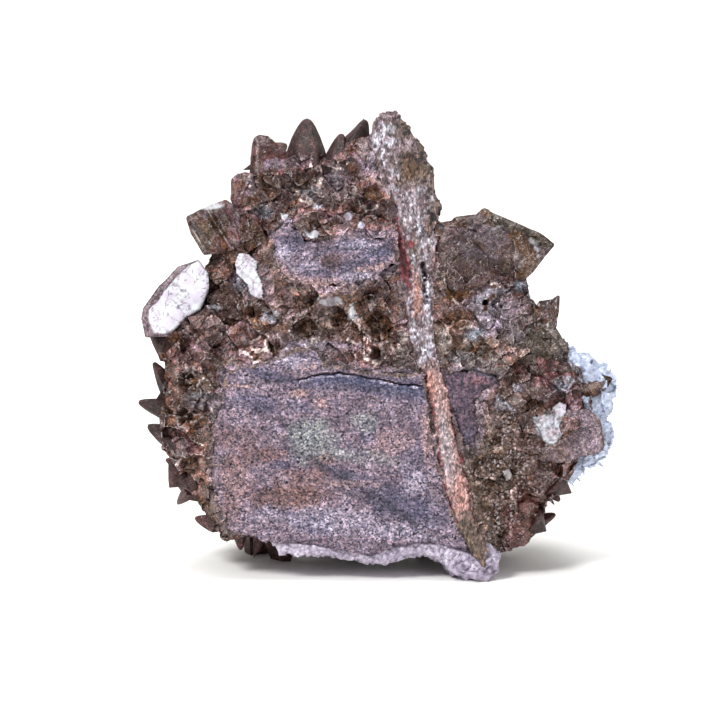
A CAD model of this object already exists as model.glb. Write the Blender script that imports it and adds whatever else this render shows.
# %% [markdown]
# # A specimen of calcite with gypsum
# The real thing is a piece broken out of a vein. Its broken side shows three fragments of purple grey
# rock, a fibrous seam from top to bottom, and brown calcite all round them. White gypsum grew over its
# right edge and along its foot, and dogtooth crystals cover the side that faces away.
#
# The solids from the workshop give every piece its size and place. This lesson dresses them: each part
# of the broken side becomes a fine relief, each crystal gets its own faces, and every finish is painted
# with procedural nodes.

# %% The fixed frame
import math
import random

import bpy
import numpy as np
from mathutils import Matrix, Vector


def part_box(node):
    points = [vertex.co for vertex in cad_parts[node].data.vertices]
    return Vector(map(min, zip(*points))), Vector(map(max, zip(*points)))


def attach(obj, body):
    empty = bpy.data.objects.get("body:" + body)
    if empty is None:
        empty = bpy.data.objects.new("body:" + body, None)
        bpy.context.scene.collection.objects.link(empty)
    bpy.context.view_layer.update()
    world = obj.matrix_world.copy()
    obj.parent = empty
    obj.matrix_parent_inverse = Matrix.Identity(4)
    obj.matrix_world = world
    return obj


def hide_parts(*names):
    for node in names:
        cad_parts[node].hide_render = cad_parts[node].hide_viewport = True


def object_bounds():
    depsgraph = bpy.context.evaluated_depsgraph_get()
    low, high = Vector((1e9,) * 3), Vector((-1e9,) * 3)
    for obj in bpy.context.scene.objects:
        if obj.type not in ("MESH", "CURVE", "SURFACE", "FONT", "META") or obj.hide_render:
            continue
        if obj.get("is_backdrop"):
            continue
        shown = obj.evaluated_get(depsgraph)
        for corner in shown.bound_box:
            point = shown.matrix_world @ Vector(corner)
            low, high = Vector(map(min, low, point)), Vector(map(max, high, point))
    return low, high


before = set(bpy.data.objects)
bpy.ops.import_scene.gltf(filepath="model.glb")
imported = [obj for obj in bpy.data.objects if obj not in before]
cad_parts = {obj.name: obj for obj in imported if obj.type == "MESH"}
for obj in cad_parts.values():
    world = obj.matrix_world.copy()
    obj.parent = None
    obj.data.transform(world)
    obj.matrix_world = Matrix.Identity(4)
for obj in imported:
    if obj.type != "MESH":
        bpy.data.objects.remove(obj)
cad_box = [list(corner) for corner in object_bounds()]
print("pieces in the frame:", sorted(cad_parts))

# %% [markdown]
# ## A measure for the broken face
# The specimen leans back by ten degrees, which makes every place on its face awkward to give. So all
# pieces are modelled square on to the face and in millimetres: x to the right, depth into the specimen,
# and height up the face. One matrix then sets a finished piece into the frame. The slab's left edge and
# the seam's top, which are known in both measures, tie the two together.

# %% From the face to the frame
MM = 0.001
LEAN = math.radians(10.0)
SLAB_LEFT = -20.7
SEAM_TOP = 58.2
SEAM_BACK = 3.2

lean_back = Matrix.Rotation(-LEAN, 4, "X")
origin_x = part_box("host_rock_slab")[0].x - SLAB_LEFT * MM
origin_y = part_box("mineral_seam")[1].y - (lean_back @ Vector((0, SEAM_BACK, SEAM_TOP)) * MM).y
FACE_TO_FRAME = Matrix.Translation((origin_x, origin_y, 0)) @ lean_back @ Matrix.Scale(MM, 4)
FRAME_TO_FACE = FACE_TO_FRAME.inverted()
print("face origin in the frame, mm:", [round(value / MM, 2) for value in FACE_TO_FRAME.translation])

# %% [markdown]
# ## Light, floor and camera
# A stone like this is photographed in a light tent, so light comes from all round and shadows are soft.
# A sheet of pale paper that curves up behind the specimen does the same here. The camera looks square on
# to the broken face, so it looks down by as much as the face leans back.

# %% A pale sweep of paper
SWEEP_WIDTH = 2.4
SWEEP_FRONT = -0.9
SWEEP_BACK = 0.75
SWEEP_BEND = 0.30
SWEEP_TOP = 1.5
SWEEP_STEPS = 16


def select_none():
    if bpy.context.mode != "OBJECT":
        bpy.ops.object.mode_set(mode="OBJECT")
    bpy.ops.object.select_all(action="DESELECT")


def work_on(piece):
    """Make this piece the only one that an operator acts on."""
    select_none()
    piece.select_set(True)
    bpy.context.view_layer.objects.active = piece


def edit_all():
    """Edit mode, with everything selected."""
    bpy.ops.object.mode_set(mode="EDIT")
    bpy.ops.mesh.select_all(action="SELECT")


def face_outwards():
    """Turn every face outwards, and leave edit mode."""
    bpy.ops.mesh.select_all(action="SELECT")
    bpy.ops.mesh.normals_make_consistent(inside=False)
    bpy.ops.object.mode_set(mode="OBJECT")


select_none()
bpy.ops.mesh.primitive_plane_add(size=1, location=(0, (SWEEP_FRONT + SWEEP_BACK) / 2, 0))
sweep = bpy.context.object
sweep.name = "paper_sweep"
sweep.scale = (SWEEP_WIDTH, SWEEP_BACK - SWEEP_FRONT, 1)
bpy.ops.object.transform_apply(location=True, rotation=True, scale=True)
bpy.ops.object.mode_set(mode="EDIT")
bpy.ops.mesh.select_all(action="DESELECT")
bpy.ops.object.mode_set(mode="OBJECT")
for edge in sweep.data.edges:
    edge.select = all(sweep.data.vertices[k].co.y > SWEEP_BACK - 0.01 for k in edge.vertices)
bpy.ops.object.mode_set(mode="EDIT")
bpy.ops.mesh.select_mode(type="EDGE")
bpy.ops.mesh.spin(
    steps=SWEEP_STEPS, angle=-math.pi / 2, center=(0, SWEEP_BACK, SWEEP_BEND), axis=(1, 0, 0))
bpy.ops.mesh.extrude_edges_move(TRANSFORM_OT_translate={"value": (0, 0, SWEEP_TOP)})
bpy.ops.object.mode_set(mode="OBJECT")
bpy.ops.object.shade_smooth()
sweep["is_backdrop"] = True
print("sweep rises to", round(max(v.co.z for v in sweep.data.vertices), 2), "m")

# %% Soft lights
def shade(code):
    """A colour from its six figure code, as linear light."""
    parts = [int(code[k:k + 2], 16) / 255 for k in (0, 2, 4)]
    return tuple(((p + 0.055) / 1.055) ** 2.4 if p > 0.04 else p / 12.92 for p in parts)


paper = bpy.data.materials.new("white_paper")
paper.use_nodes = True
paper_inputs = paper.node_tree.nodes["Principled BSDF"].inputs
paper_inputs["Base Color"].default_value = (*shade("f7f6f4"), 1)
paper_inputs["Roughness"].default_value = 0.9
sweep.data.materials.append(paper)

TENT_COLOUR = (1.0, 0.985, 0.965, 1)
TENT_STRENGTH = 0.46
world = bpy.data.worlds.new("tent")
bpy.context.scene.world = world
world.use_nodes = True
tent_inputs = world.node_tree.nodes["Background"].inputs
tent_inputs["Color"].default_value = TENT_COLOUR
tent_inputs["Strength"].default_value = TENT_STRENGTH
bpy.context.scene.view_settings.view_transform = "Standard"


def softbox(name, place, aim, size, power):
    """A square light panel that looks at a point."""
    lamp = bpy.data.lights.new(name, "AREA")
    lamp.size = size
    lamp.energy = power
    holder = bpy.data.objects.new(name, lamp)
    holder.location = place
    holder.rotation_euler = (Vector(aim) - Vector(place)).to_track_quat("-Z", "Y").to_euler()
    bpy.context.scene.collection.objects.link(holder)


SPECIMEN_MIDDLE = (0, 0, 0.03)
PAPER_BEHIND = (0, SWEEP_BACK, 0.45)
softbox("key", (-0.30, -0.30, 0.46), SPECIMEN_MIDDLE, 0.16, 2.9)
softbox("fill", (0.45, -0.40, 0.16), SPECIMEN_MIDDLE, 0.40, 0.7)
softbox("top", (0.02, 0.10, 0.60), SPECIMEN_MIDDLE, 0.35, 1.3)
softbox("paper_light", (0, 0.15, 1.1), PAPER_BEHIND, 0.9, 9.0)

# %% The camera, square on to the broken face
VIEW_DISTANCE = 300.0
VIEW_WIDTH = 89.7
VIEW_AIM = (-2.1, 27.8)
SENSOR_WIDTH = 36.0

camera = bpy.data.cameras.new("camera")
camera.sensor_width = SENSOR_WIDTH
camera.lens = SENSOR_WIDTH * VIEW_DISTANCE / VIEW_WIDTH
camera.clip_start = 0.01
holder = bpy.data.objects.new("camera", camera)
holder.location = FACE_TO_FRAME @ Vector((VIEW_AIM[0], -VIEW_DISTANCE, VIEW_AIM[1]))
holder.rotation_euler = (math.radians(90) - LEAN, 0, 0)
bpy.context.scene.collection.objects.link(holder)
bpy.context.scene.camera = holder
print("lens", round(camera.lens, 1), "mm")

# %% [markdown]
# ## Chance that repeats itself
# Rock is irregular at every scale, but the script has to give the same stone each run. These functions
# turn a place on the face into a number that looks like chance and is always the same: soft rolling
# noise, a crumpled sum of it, and cells, which split the face as cleavage splits a crystal.

# %% Noise and cells
CRUMPLE_LAYERS = 4


def chance_at(column, row, salt):
    """A number from 0 to 1 for each square of an endless board."""
    mixed = column.astype(np.int64) * 374761393 + row.astype(np.int64) * 668265263 + salt * 974634777
    mixed = (mixed ^ (mixed >> 13)) * 1274126177 & 0xFFFFFFFF
    mixed = (mixed ^ (mixed >> 15)) * 2246822519 & 0xFFFFFFFF
    return ((mixed ^ (mixed >> 16)) & 0xFFFF) / 65535.0


def rolling(x, h, size, salt):
    """Soft hills of about this size, from -1 to 1."""
    u, v = x / size, h / size
    column, row = np.floor(u), np.floor(v)
    du, dv = u - column, v - row
    du, dv = du * du * (3 - 2 * du), dv * dv * (3 - 2 * dv)
    low = chance_at(column, row, salt) * (1 - du) + chance_at(column + 1, row, salt) * du
    high = chance_at(column, row + 1, salt) * (1 - du) + chance_at(column + 1, row + 1, salt) * du
    return (low * (1 - dv) + high * dv) * 2 - 1


def crumpled(x, h, size, salt):
    """Rolling noise with ever finer noise on top."""
    total = np.zeros_like(x)
    for layer in range(CRUMPLE_LAYERS):
        total += rolling(x + 7.3 * layer, h - 3.1 * layer, size / 2 ** layer, salt + layer) / 2 ** layer
    return total / 1.8


def cells(x, h, size, salt, turn=0.0, roundness=1.0, aspect=1.0):
    """Irregular cells: each point's place from its cell's middle, its way to the border, two chances."""
    u = (x * math.cos(turn) + h * math.sin(turn)) / size
    v = (h * math.cos(turn) - x * math.sin(turn)) / (size * aspect)
    column, row = np.floor(u), np.floor(v)
    nearest = np.full(u.shape, 9.0)
    second = np.full(u.shape, 9.0)
    found = [np.zeros_like(u) for _ in range(4)]
    for step_c in (-1, 0, 1):
        for step_r in (-1, 0, 1):
            c, r = column + step_c, row + step_r
            du = u - c - 0.1 - 0.8 * chance_at(c, r, salt)
            dv = v - r - 0.1 - 0.8 * chance_at(c, r, salt + 1)
            away = roundness * np.hypot(du, dv) + (1 - roundness) * np.maximum(abs(du), abs(dv))
            nearer = away < nearest
            second = np.where(nearer, nearest, np.minimum(second, away))
            nearest = np.where(nearer, away, nearest)
            for slot, value in enumerate((du * size, dv * size * aspect, c, r)):
                found[slot] = np.where(nearer, value, found[slot])
    du, dv, c, r = found
    return du, dv, (second - nearest) * size, chance_at(c, r, salt + 2), chance_at(c, r, salt + 3)


# %% [markdown]
# ## Places on the face
# Colours and hollows have their own places: a dark pit here, a rusty patch there. Three simple shapes
# are enough to give them: a ragged patch, a line with a width, and the inside of an outline.

# %% Patches, lines and outlines
FAR_AWAY = 99.0
PATCH_SALT = 71


def soft_step(value, low, high):
    """0 below low, 1 above high, and a smooth rise between."""
    t = np.clip((value - low) / (high - low), 0, 1)
    return t * t * (3 - 2 * t)


def patch(x, h, place, radii, turn_degrees=0.0, ragged=0.35, soft=0.5):
    """1 inside a ragged oval and 0 outside it."""
    turn = math.radians(turn_degrees)
    dx, dh = x - place[0], h - place[1]
    u = (dx * math.cos(turn) + dh * math.sin(turn)) / radii[0]
    v = (dh * math.cos(turn) - dx * math.sin(turn)) / radii[1]
    rough = ragged * crumpled(x, h, max(0.5, min(radii) * 0.9), PATCH_SALT)
    return 1 - soft_step(np.hypot(u, v) + rough, 1 - soft / 2, 1 + soft / 2)


def patches(x, h, places, **shape):
    """Several ragged ovals together: each has its place, its two radii and its strength."""
    total = np.zeros_like(x)
    for px, ph, radius_x, radius_h, strength in places:
        total = np.maximum(total, strength * patch(x, h, (px, ph), (radius_x, radius_h), **shape))
    return total


def spots(places, **shape):
    """A mask made of ragged ovals."""
    return lambda x, h: patches(x, h, places, **shape)


def even(level):
    """A mask that is the same everywhere."""
    return lambda x, h: level + 0 * x


def ways_from(x, h, points, closed):
    """For each stretch of a line, the way to every place from the nearest point of that stretch."""
    ends = points[1:] + points[:1] if closed else points[1:]
    for (ax, ah), (bx, bh) in zip(points, ends):
        run_x, run_h = bx - ax, bh - ah
        share = np.clip(((x - ax) * run_x + (h - ah) * run_h) / (run_x ** 2 + run_h ** 2), 0, 1)
        yield x - ax - share * run_x, h - ah - share * run_h


def distance_to(x, h, points, closed=False):
    """How far each place is from a line through the points, in millimetres."""
    nearest = np.full(x.shape, FAR_AWAY)
    for way_x, way_h in ways_from(x, h, points, closed):
        nearest = np.minimum(nearest, np.hypot(way_x, way_h))
    return nearest


def line(x, h, points, width, soft=0.6):
    """1 along a line through the points, and 0 beside it."""
    return 1 - soft_step(distance_to(x, h, points), width / 2 * (1 - soft), width / 2 * (1 + soft))


def within(x, h, outline):
    """True inside an outline."""
    inside = np.zeros(x.shape, bool)
    for (ax, ah), (bx, bh) in zip(outline, outline[1:] + outline[:1]):
        if ah != bh:
            inside ^= ((ah > h) != (bh > h)) & (x < ax + (h - ah) * (bx - ax) / (bh - ah))
    return inside


# %% [markdown]
# ## Reliefs
# The broken side is low in relief but rough all over. It could be sculpted, or displaced by textures,
# but then no pit would lie where it should. So each piece of it starts as a fine grid that is cut to an
# outline, and a function of the place gives its depth. Its rim is then drawn back into the specimen in
# rings and closed behind, which makes a solid that can sit among its neighbours.

# %% From a grid to a solid
OVERLAP = 0.35
FRONT_LIP = 0.10
GRID_MARGIN = 1.0
SIDE_STEP = 1.0
SIDE_ROUGHNESS = 0.35
RIDGE_REACH = 0.16
RIDGE_HEIGHT = 0.16
PINCH_ROUNDS = 4
FLOOR_SQUASH = 0.05
BACK_LEVELS = {"tone": 0.06, "ridge": 0.5}


def places_of(piece):
    """All the piece's points, one row each."""
    flat = np.zeros(len(piece.data.vertices) * 3)
    piece.data.vertices.foreach_get("co", flat)
    return flat.reshape(-1, 3)


def put(piece, places):
    piece.data.vertices.foreach_set("co", places.ravel())
    piece.data.update()


def choose(piece, wanted):
    """Select these points, ready for edit mode."""
    bpy.context.tool_settings.mesh_select_mode = (True, False, False)
    mesh = piece.data
    mesh.polygons.foreach_set("select", np.zeros(len(mesh.polygons), bool))
    mesh.edges.foreach_set("select", np.zeros(len(mesh.edges), bool))
    mesh.vertices.foreach_set("select", np.asarray(wanted, bool))


def without_pinches(keep, x, h, step_x, step_h):
    """Drop the points where two kept squares only touch at a corner, since no solid can have those."""
    column = np.round((x - x.min()) / step_x).astype(int)
    row = np.round((h - h.min()) / step_h).astype(int)
    board = np.zeros((column.max() + 3, row.max() + 3), bool)
    for _ in range(PINCH_ROUNDS):
        board[column + 1, row + 1] = keep
        square = board[:-1, :-1] & board[1:, :-1] & board[:-1, 1:] & board[1:, 1:]
        a, b = square[:-1, :-1] & square[1:, 1:], square[:-1, 1:] & square[1:, :-1]
        other = square[:-1, 1:] | square[1:, :-1]
        same = square[:-1, :-1] | square[1:, 1:]
        pinch = (a & ~other) | (b & ~same)
        keep = keep & ~pinch[column, row]
    return keep


def ragged_within(x, h, outline, amount, salt):
    """True inside an outline whose edge is crumpled."""
    shift_x = amount * (rolling(x, h, 1.1, salt) + 0.6 * rolling(x, h, 0.45, salt + 1))
    shift_h = amount * (rolling(x, h, 1.1, salt + 2) + 0.6 * rolling(x, h, 0.45, salt + 3))
    return within(x + shift_x, h + shift_h, outline)


def middle_of(outline):
    """The mean of an outline's corners."""
    return sum(p[0] for p in outline) / len(outline), sum(p[1] for p in outline) / len(outline)


def between_rings(sides):
    """Rings a good millimetre apart, so that the sides can be rough too."""
    rings = [sides[0]]
    for depth, share in sides[1:]:
        past_depth, past_share = rings[-1]
        parts = max(1, round((depth - past_depth) / SIDE_STEP))
        for k in range(1, parts + 1):
            rings.append((past_depth + (depth - past_depth) * k / parts,
                          past_share + (share - past_share) * k / parts))
    return rings


def nearest_on(points, x, h):
    """The nearest place on a closed line through the points."""
    best, best_x, best_h = np.full(x.shape, FAR_AWAY), x.copy(), h.copy()
    for way_x, way_h in ways_from(x, h, points, closed=True):
        away = np.hypot(way_x, way_h)
        best_x = np.where(away < best, x - way_x, best_x)
        best_h = np.where(away < best, h - way_h, best_h)
        best = np.minimum(best, away)
    return best_x, best_h


def relief(name, outline, step, depth_at, sides, holes=(), ragged=0.25, salt=11, rough=SIDE_ROUGHNESS,
           crisp=False):
    """A solid with a finely modelled front. Each side is a ring's depth and its share of the width."""
    low = [min(p[k] for p in outline) - GRID_MARGIN for k in (0, 1)]
    high = [max(p[k] for p in outline) + GRID_MARGIN for k in (0, 1)]
    width, height = high[0] - low[0], high[1] - low[1]
    select_none()
    bpy.ops.mesh.primitive_grid_add(
        x_subdivisions=round(width / step), y_subdivisions=round(height / step), size=1,
        location=((low[0] + high[0]) / 2, 0, (low[1] + high[1]) / 2), rotation=(math.radians(90), 0, 0))
    piece = bpy.context.object
    piece.name = name
    piece.scale = (width, height, 1)
    bpy.ops.object.transform_apply(location=True, rotation=True, scale=True)
    places = places_of(piece)
    x, h = places[:, 0], places[:, 2]
    keep = ragged_within(x, h, outline, ragged, salt)
    for hole in holes:
        inside = ragged_within(x, h, hole, ragged, salt)
        keep &= ~(inside & (distance_to(x, h, hole, closed=True) > OVERLAP))
    keep = without_pinches(keep, x, h, width / round(width / step), height / round(height / step))
    choose(piece, ~keep)
    bpy.ops.object.mode_set(mode="EDIT")
    bpy.ops.mesh.delete(type="VERT")
    bpy.ops.mesh.select_all(action="SELECT")
    bpy.ops.mesh.delete_loose(use_verts=True, use_edges=True, use_faces=False)
    bpy.ops.object.mode_set(mode="OBJECT")
    places = places_of(piece)
    front = len(places)
    places[:, 1] = depth_at(places[:, 0], places[:, 2])
    put(piece, places)
    middle = middle_of(outline)
    edit_all()
    bpy.ops.mesh.region_to_loop()
    if crisp:
        bpy.ops.object.mode_set(mode="OBJECT")
        on_rim = np.zeros(front, bool)
        piece.data.vertices.foreach_get("select", on_rim)
        rim = places[on_rim]
        places[on_rim, 0], places[on_rim, 2] = nearest_on(outline, rim[:, 0], rim[:, 2])
        put(piece, places)
        bpy.ops.object.mode_set(mode="EDIT")
    bpy.ops.mesh.extrude_edges_move(TRANSFORM_OT_translate={"value": (0, FRONT_LIP, 0)})
    past = 1.0
    for depth, share in between_rings(sides):
        bpy.ops.mesh.extrude_edges_move(TRANSFORM_OT_translate={"value": (0, 0, 0)})
        bpy.ops.transform.resize(
            value=(share / past, 0, share / past), center_override=(middle[0], depth, middle[1]))
        past = share
    bpy.ops.mesh.fill(use_beauty=False)
    face_outwards()
    places = places_of(piece)
    back = places[front:]
    sideways = back[:, 0] + back[:, 2]
    back[:, 0] += rough * rolling(sideways, back[:, 1], 1.1, salt + 30)
    back[:, 2] += rough * rolling(sideways, back[:, 1], 1.1, salt + 31)
    back[:, 1] += rough * rolling(back[:, 0], back[:, 2], 0.9, salt + 32)
    put(piece, places)
    piece["front"] = front
    paint(piece, "ridge", lambda x, h: ridges(depth_at, x, h))
    print(name, "has", len(piece.data.polygons), "faces,", front, "points in front")
    return piece


def paint(piece, mask_name, value):
    """Keep a number from 0 to 1 for each point of the piece, under a name that a material can read."""
    places = places_of(piece)
    numbers = np.clip(value(places[:, 0], places[:, 2]), 0, 1)
    if "front" in piece:
        front = piece["front"]
        back = places[front:]
        numbers[front:] = BACK_LEVELS.get(mask_name, 0.0)
        if mask_name == "tone":
            numbers[front:] += 0.2 * rolling(back[:, 0] + back[:, 1], back[:, 2], 1.1, 8)
    layer = piece.data.attributes.new(mask_name, "FLOAT", "POINT")
    layer.data.foreach_set("value", numbers.astype(np.float32))


def ridges(depth_at, x, h):
    """0 in a hollow, a half where it is flat and 1 on a ridge, as worn edges turn pale."""
    reach = RIDGE_REACH
    beside = depth_at(x + reach, h) + depth_at(x - reach, h)
    around = beside + depth_at(x, h + reach) + depth_at(x, h - reach)
    return 0.5 + (around / 4 - depth_at(x, h)) / RIDGE_HEIGHT


def settle(piece, node, angle=34.0):
    """Set a finished piece into the frame, in place of its solid, and press it flat below the floor."""
    piece.data.transform(FACE_TO_FRAME)
    places = places_of(piece)
    places[:, 2] = np.where(places[:, 2] < 0, places[:, 2] * FLOOR_SQUASH, places[:, 2])
    put(piece, places)
    work_on(piece)
    bpy.ops.object.shade_smooth_by_angle(angle=math.radians(angle))
    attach(piece, "root")
    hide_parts(node)


# %% [markdown]
# ## Mineral finishes
# A rough mineral is never one colour. Its ground drifts from dark to light over a few millimetres, grains
# of a third of a millimetre speckle it, and stains lie where water or iron got in. One function builds
# such a finish: a ground, the tints that the painted masks place, a speckle of grains, and a fine bump.
# The nodes read the place in millimetres, square on to the face.


# %% Shader nodes in plain words
def node(tree, kind, inputs=None, **settings):
    """One shader node. An input is a value or another node's output."""
    made = tree.nodes.new(kind)
    for name, value in settings.items():
        setattr(made, name, value)
    for name, value in (inputs or {}).items():
        if isinstance(value, bpy.types.NodeSocket):
            tree.links.new(value, made.inputs[name])
        else:
            made.inputs[name].default_value = value
    return made


def mixed(tree, factor, first, second, blend="MIX"):
    """Two colours mixed."""
    sockets = {0: factor, 6: first, 7: second}
    return node(tree, "ShaderNodeMix", sockets, data_type="RGBA", blend_type=blend).outputs[2]


def number(tree, operation, *values, clamp=False):
    """A sum, product or other small piece of arithmetic."""
    inputs = dict(enumerate(values))
    return node(tree, "ShaderNodeMath", inputs, operation=operation, use_clamp=clamp).outputs[0]


def ramp(tree, factor, stops, interpolation="LINEAR"):
    """A colour for each value from 0 to 1."""
    made = node(tree, "ShaderNodeValToRGB", {"Fac": factor})
    made.color_ramp.interpolation = interpolation
    while len(made.color_ramp.elements) < len(stops):
        made.color_ramp.elements.new(0.5)
    for element, (position, colour) in zip(made.color_ramp.elements, stops):
        element.position = position
        element.color = (*colour, 1)
    return made.outputs["Color"]


def noise(tree, place, size, detail=4.0, roughness=0.6, distortion=0.0):
    """Cloudy noise with lumps of this size in millimetres."""
    inputs = {
        "Vector": place, "Scale": 1 / size, "Detail": detail, "Roughness": roughness,
        "Distortion": distortion}
    return node(tree, "ShaderNodeTexNoise", inputs).outputs["Fac"]


def grains(tree, place, size):
    """A random number for each grain of this size in millimetres."""
    cell = node(tree, "ShaderNodeTexVoronoi", {"Vector": place, "Scale": 1 / size, "Randomness": 1.0})
    return node(tree, "ShaderNodeSeparateColor", {"Color": cell.outputs["Color"]}).outputs["Red"]


def mask(tree, name):
    """A painted number, read back from the mesh."""
    return node(tree, "ShaderNodeAttribute", attribute_name=name).outputs["Fac"]


def face_place(tree, stretch):
    """The place on the face in millimetres, from the place in the frame."""
    where = node(tree, "ShaderNodeTexCoord").outputs["Object"]
    inputs = {
        "Vector": where, "Location": tuple(FRAME_TO_FACE.translation), "Rotation": (LEAN, 0, 0),
        "Scale": (1 / MM,) * 3}
    place = node(tree, "ShaderNodeMapping", inputs).outputs["Vector"]
    if stretch != (1, 1, 1):
        place = node(tree, "ShaderNodeMapping", {"Vector": place, "Scale": stretch}).outputs["Vector"]
    return place


def grey(level):
    return (level, level, level)


def fade(tree, factor, *stops):
    """A grey for each value from 0 to 1."""
    return ramp(tree, factor, [(at, grey(level)) for at, level in stops])


def scaled(tree, colour, factor, stops, interpolation="LINEAR"):
    """A colour multiplied by a ramp, whose stops go up to 2."""
    halves = [(at, tuple(part / 2 for part in level)) for at, level in stops]
    colour = mixed(tree, 1.0, colour, ramp(tree, factor, halves, interpolation), "MULTIPLY")
    return mixed(tree, 1.0, colour, (2, 2, 2, 1), "MULTIPLY")


# %% One recipe for every mineral
def mineral(name, ground, tints, speckle, grain, roughness, bump, bump_size, cloud, ground_size=2.6,
            tones=(), stretch=(1, 1, 1), layers=(), over=(), glow=0.0, ridge=(0.62, 1.5), glint=0.0,
            curls=(), hairs=(), cold=0.0, shine=0.5):
    """A rough mineral: ground, tints by mask, grains, layers, facet tones, and clean faces over all."""
    material = bpy.data.materials.new(name)
    material.use_nodes = True
    tree = material.node_tree
    shader = tree.nodes["Principled BSDF"]
    place = face_place(tree, stretch)
    fine = noise(tree, place, bump_size, 5.0, 0.7)
    colour = ramp(tree, noise(tree, place, ground_size, 5.0, 0.65, 0.3), ground)
    break_up = number(tree, "MULTIPLY_ADD", fine, 1.1, -0.55)
    for tint_mask, tint in tints:
        strength = mask(tree, tint_mask)
        spread = number(tree, "MULTIPLY_ADD", strength, 1.3, break_up)
        near = number(tree, "MULTIPLY", strength, 4.0, clamp=True)
        kept = number(tree, "MULTIPLY", spread, near, clamp=True)
        colour = mixed(tree, kept, colour, (*tint, 1))
    hues = [1 + cold * (1 - min(level, 1.2)) for at, level in speckle]
    levels = [(at, (level / hue, level / hue ** 0.5, level * hue)) for (at, level), hue in zip(speckle, hues)]
    colour = scaled(tree, colour, grains(tree, place, grain), levels, "CONSTANT")
    clouded = fade(tree, fine, (0.32, 1 - cloud), (0.68, 1.0))
    colour = mixed(tree, 1.0, colour, clouded, "MULTIPLY")
    if tones:
        levels = [(k / (len(tones) - 1), grey(level)) for k, level in enumerate(tones)]
        colour = scaled(tree, colour, mask(tree, "tone"), levels)
    worn = [(0.0, grey(ridge[0])), (0.5, grey(1.0)), (1.0, grey(ridge[1]))]
    colour = scaled(tree, colour, mask(tree, "ridge"), worn)
    for stretched, size, low, high in layers:
        bed = noise(tree, face_place(tree, stretched), size, 3.0, 0.6)
        colour = scaled(tree, colour, bed, [(0.35, grey(low)), (0.65, grey(high))])
    for size, twist, low, high in curls:
        hair = noise(tree, place, size, 3.0, 0.6, twist)
        colour = scaled(tree, colour, hair, [(0.40, grey(low)), (0.50, grey(1.0)), (0.60, grey(high))])
    for size, twist, width, strength in hairs:
        contour = noise(tree, place, size, 2.0, 0.5, twist)
        thin = fade(tree, contour, (0.5 - width, 0.0), (0.5, strength), (0.5 + width, 0.0))
        here = fade(tree, noise(tree, place, 1.7, 3.0, 0.6), (0.46, 0.0), (0.58, 1.0))
        hair = mixed(tree, 1.0, thin, here, "MULTIPLY")
        colour = mixed(tree, hair, colour, (*shade("cbb9b4"), 1))
    if glint:
        pale_edge = fade(tree, mask(tree, "ridge"), (0.66, 0.0), (1.0, glint))
        here = fade(tree, noise(tree, place, 1.1, 3.0, 0.6), (0.48, 0.0), (0.60, 1.0))
        pale_edge = mixed(tree, 1.0, pale_edge, here, "MULTIPLY")
        colour = mixed(tree, pale_edge, colour, (*shade("d6ccd0"), 1))
    rough = fade(tree, noise(tree, place, bump_size * 1.7), (0.3, roughness[0]), (0.7, roughness[1]))
    for over_mask, pale, paler in over:
        clean = ramp(tree, noise(tree, place, 1.6, 2.0), [(0.4, pale), (0.6, paler)])
        colour = mixed(tree, mask(tree, over_mask), colour, clean)
        rough = mixed(tree, mask(tree, over_mask), rough, (*grey(0.22), 1))
    tree.links.new(colour, shader.inputs["Base Color"])
    tree.links.new(rough, shader.inputs["Roughness"])
    shader.inputs["Specular IOR Level"].default_value = shine
    height = node(tree, "ShaderNodeBump", {"Height": fine, "Distance": bump * MM, "Strength": 0.9})
    tree.links.new(height.outputs["Normal"], shader.inputs["Normal"])
    if glow:
        shader.inputs["Subsurface Weight"].default_value = glow
        shader.inputs["Subsurface Radius"].default_value = (0.9, 0.8, 0.7)
        shader.inputs["Subsurface Scale"].default_value = MM
    return material


def wear(piece, material):
    piece.data.materials.clear()
    piece.data.materials.append(material)


# %% [markdown]
# ## The slab of host rock
# The largest fragment is a sandy, banded rock. A thin layer along its top has lifted, and its broken edge
# draws a dark arc with bright grains below it. Stains of navy, green and rust lie in the sand. The relief
# takes the arc, the bedding and the grain; the masks take the stains.

# %% The slab's outline and its arc
SLAB_OUTLINE = [
    (-19.1, 26.6), (-17.1, 27.0), (-14.3, 27.4), (-11.6, 28.4), (-10.2, 29.5), (-7.3, 29.1),
    (-6.6, 27.5), (-4.0, 27.0), (-0.2, 26.3), (2.9, 26.0), (5.6, 26.3), (6.4, 23.6),
    (6.9, 19.1), (7.8, 14.1), (8.7, 11.4), (10.4, 6.6), (11.4, 4.4), (9.7, 4.3),
    (6.6, 4.9), (2.9, 4.7), (-0.6, 3.5), (-5.2, 4.1), (-8.1, 4.8), (-12.7, 4.8),
    (-15.8, 5.8), (-18.6, 6.5), (-19.2, 8.5), (-20.3, 10.3), (-20.7, 12.8), (-20.7, 16.6),
    (-20.4, 19.7), (-19.6, 22.8),
]
ARC = [(-9.8, 25.4), (-7.2, 26.0), (-4.6, 26.2), (-2.4, 25.9), (-0.2, 25.5), (2.2, 25.0), (5.6, 24.6)]
FAINT_ARC = [(-19.4, 24.2), (-16.0, 24.9), (-12.8, 25.3), (-9.8, 25.4)]
ROCK_STEP = 0.16


def height_of_arc(x):
    """Where the lifted layer's edge is, for each x."""
    whole = FAINT_ARC + ARC[1:]
    return np.interp(x, [p[0] for p in whole], [p[1] for p in whole])


def small_holes(x, h):
    """1 in the little holes that lie scattered through the sand."""
    du, dv, _, high, _ = cells(x, h, 1.7, 25)
    return (high > 0.80) * (1 - soft_step(np.hypot(du, dv), 0.05, 0.26))


def arc_waves(x, h):
    """The small waves of the arc's broken edge."""
    return 0.12 * rolling(x, h, 0.8, 28)


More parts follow.
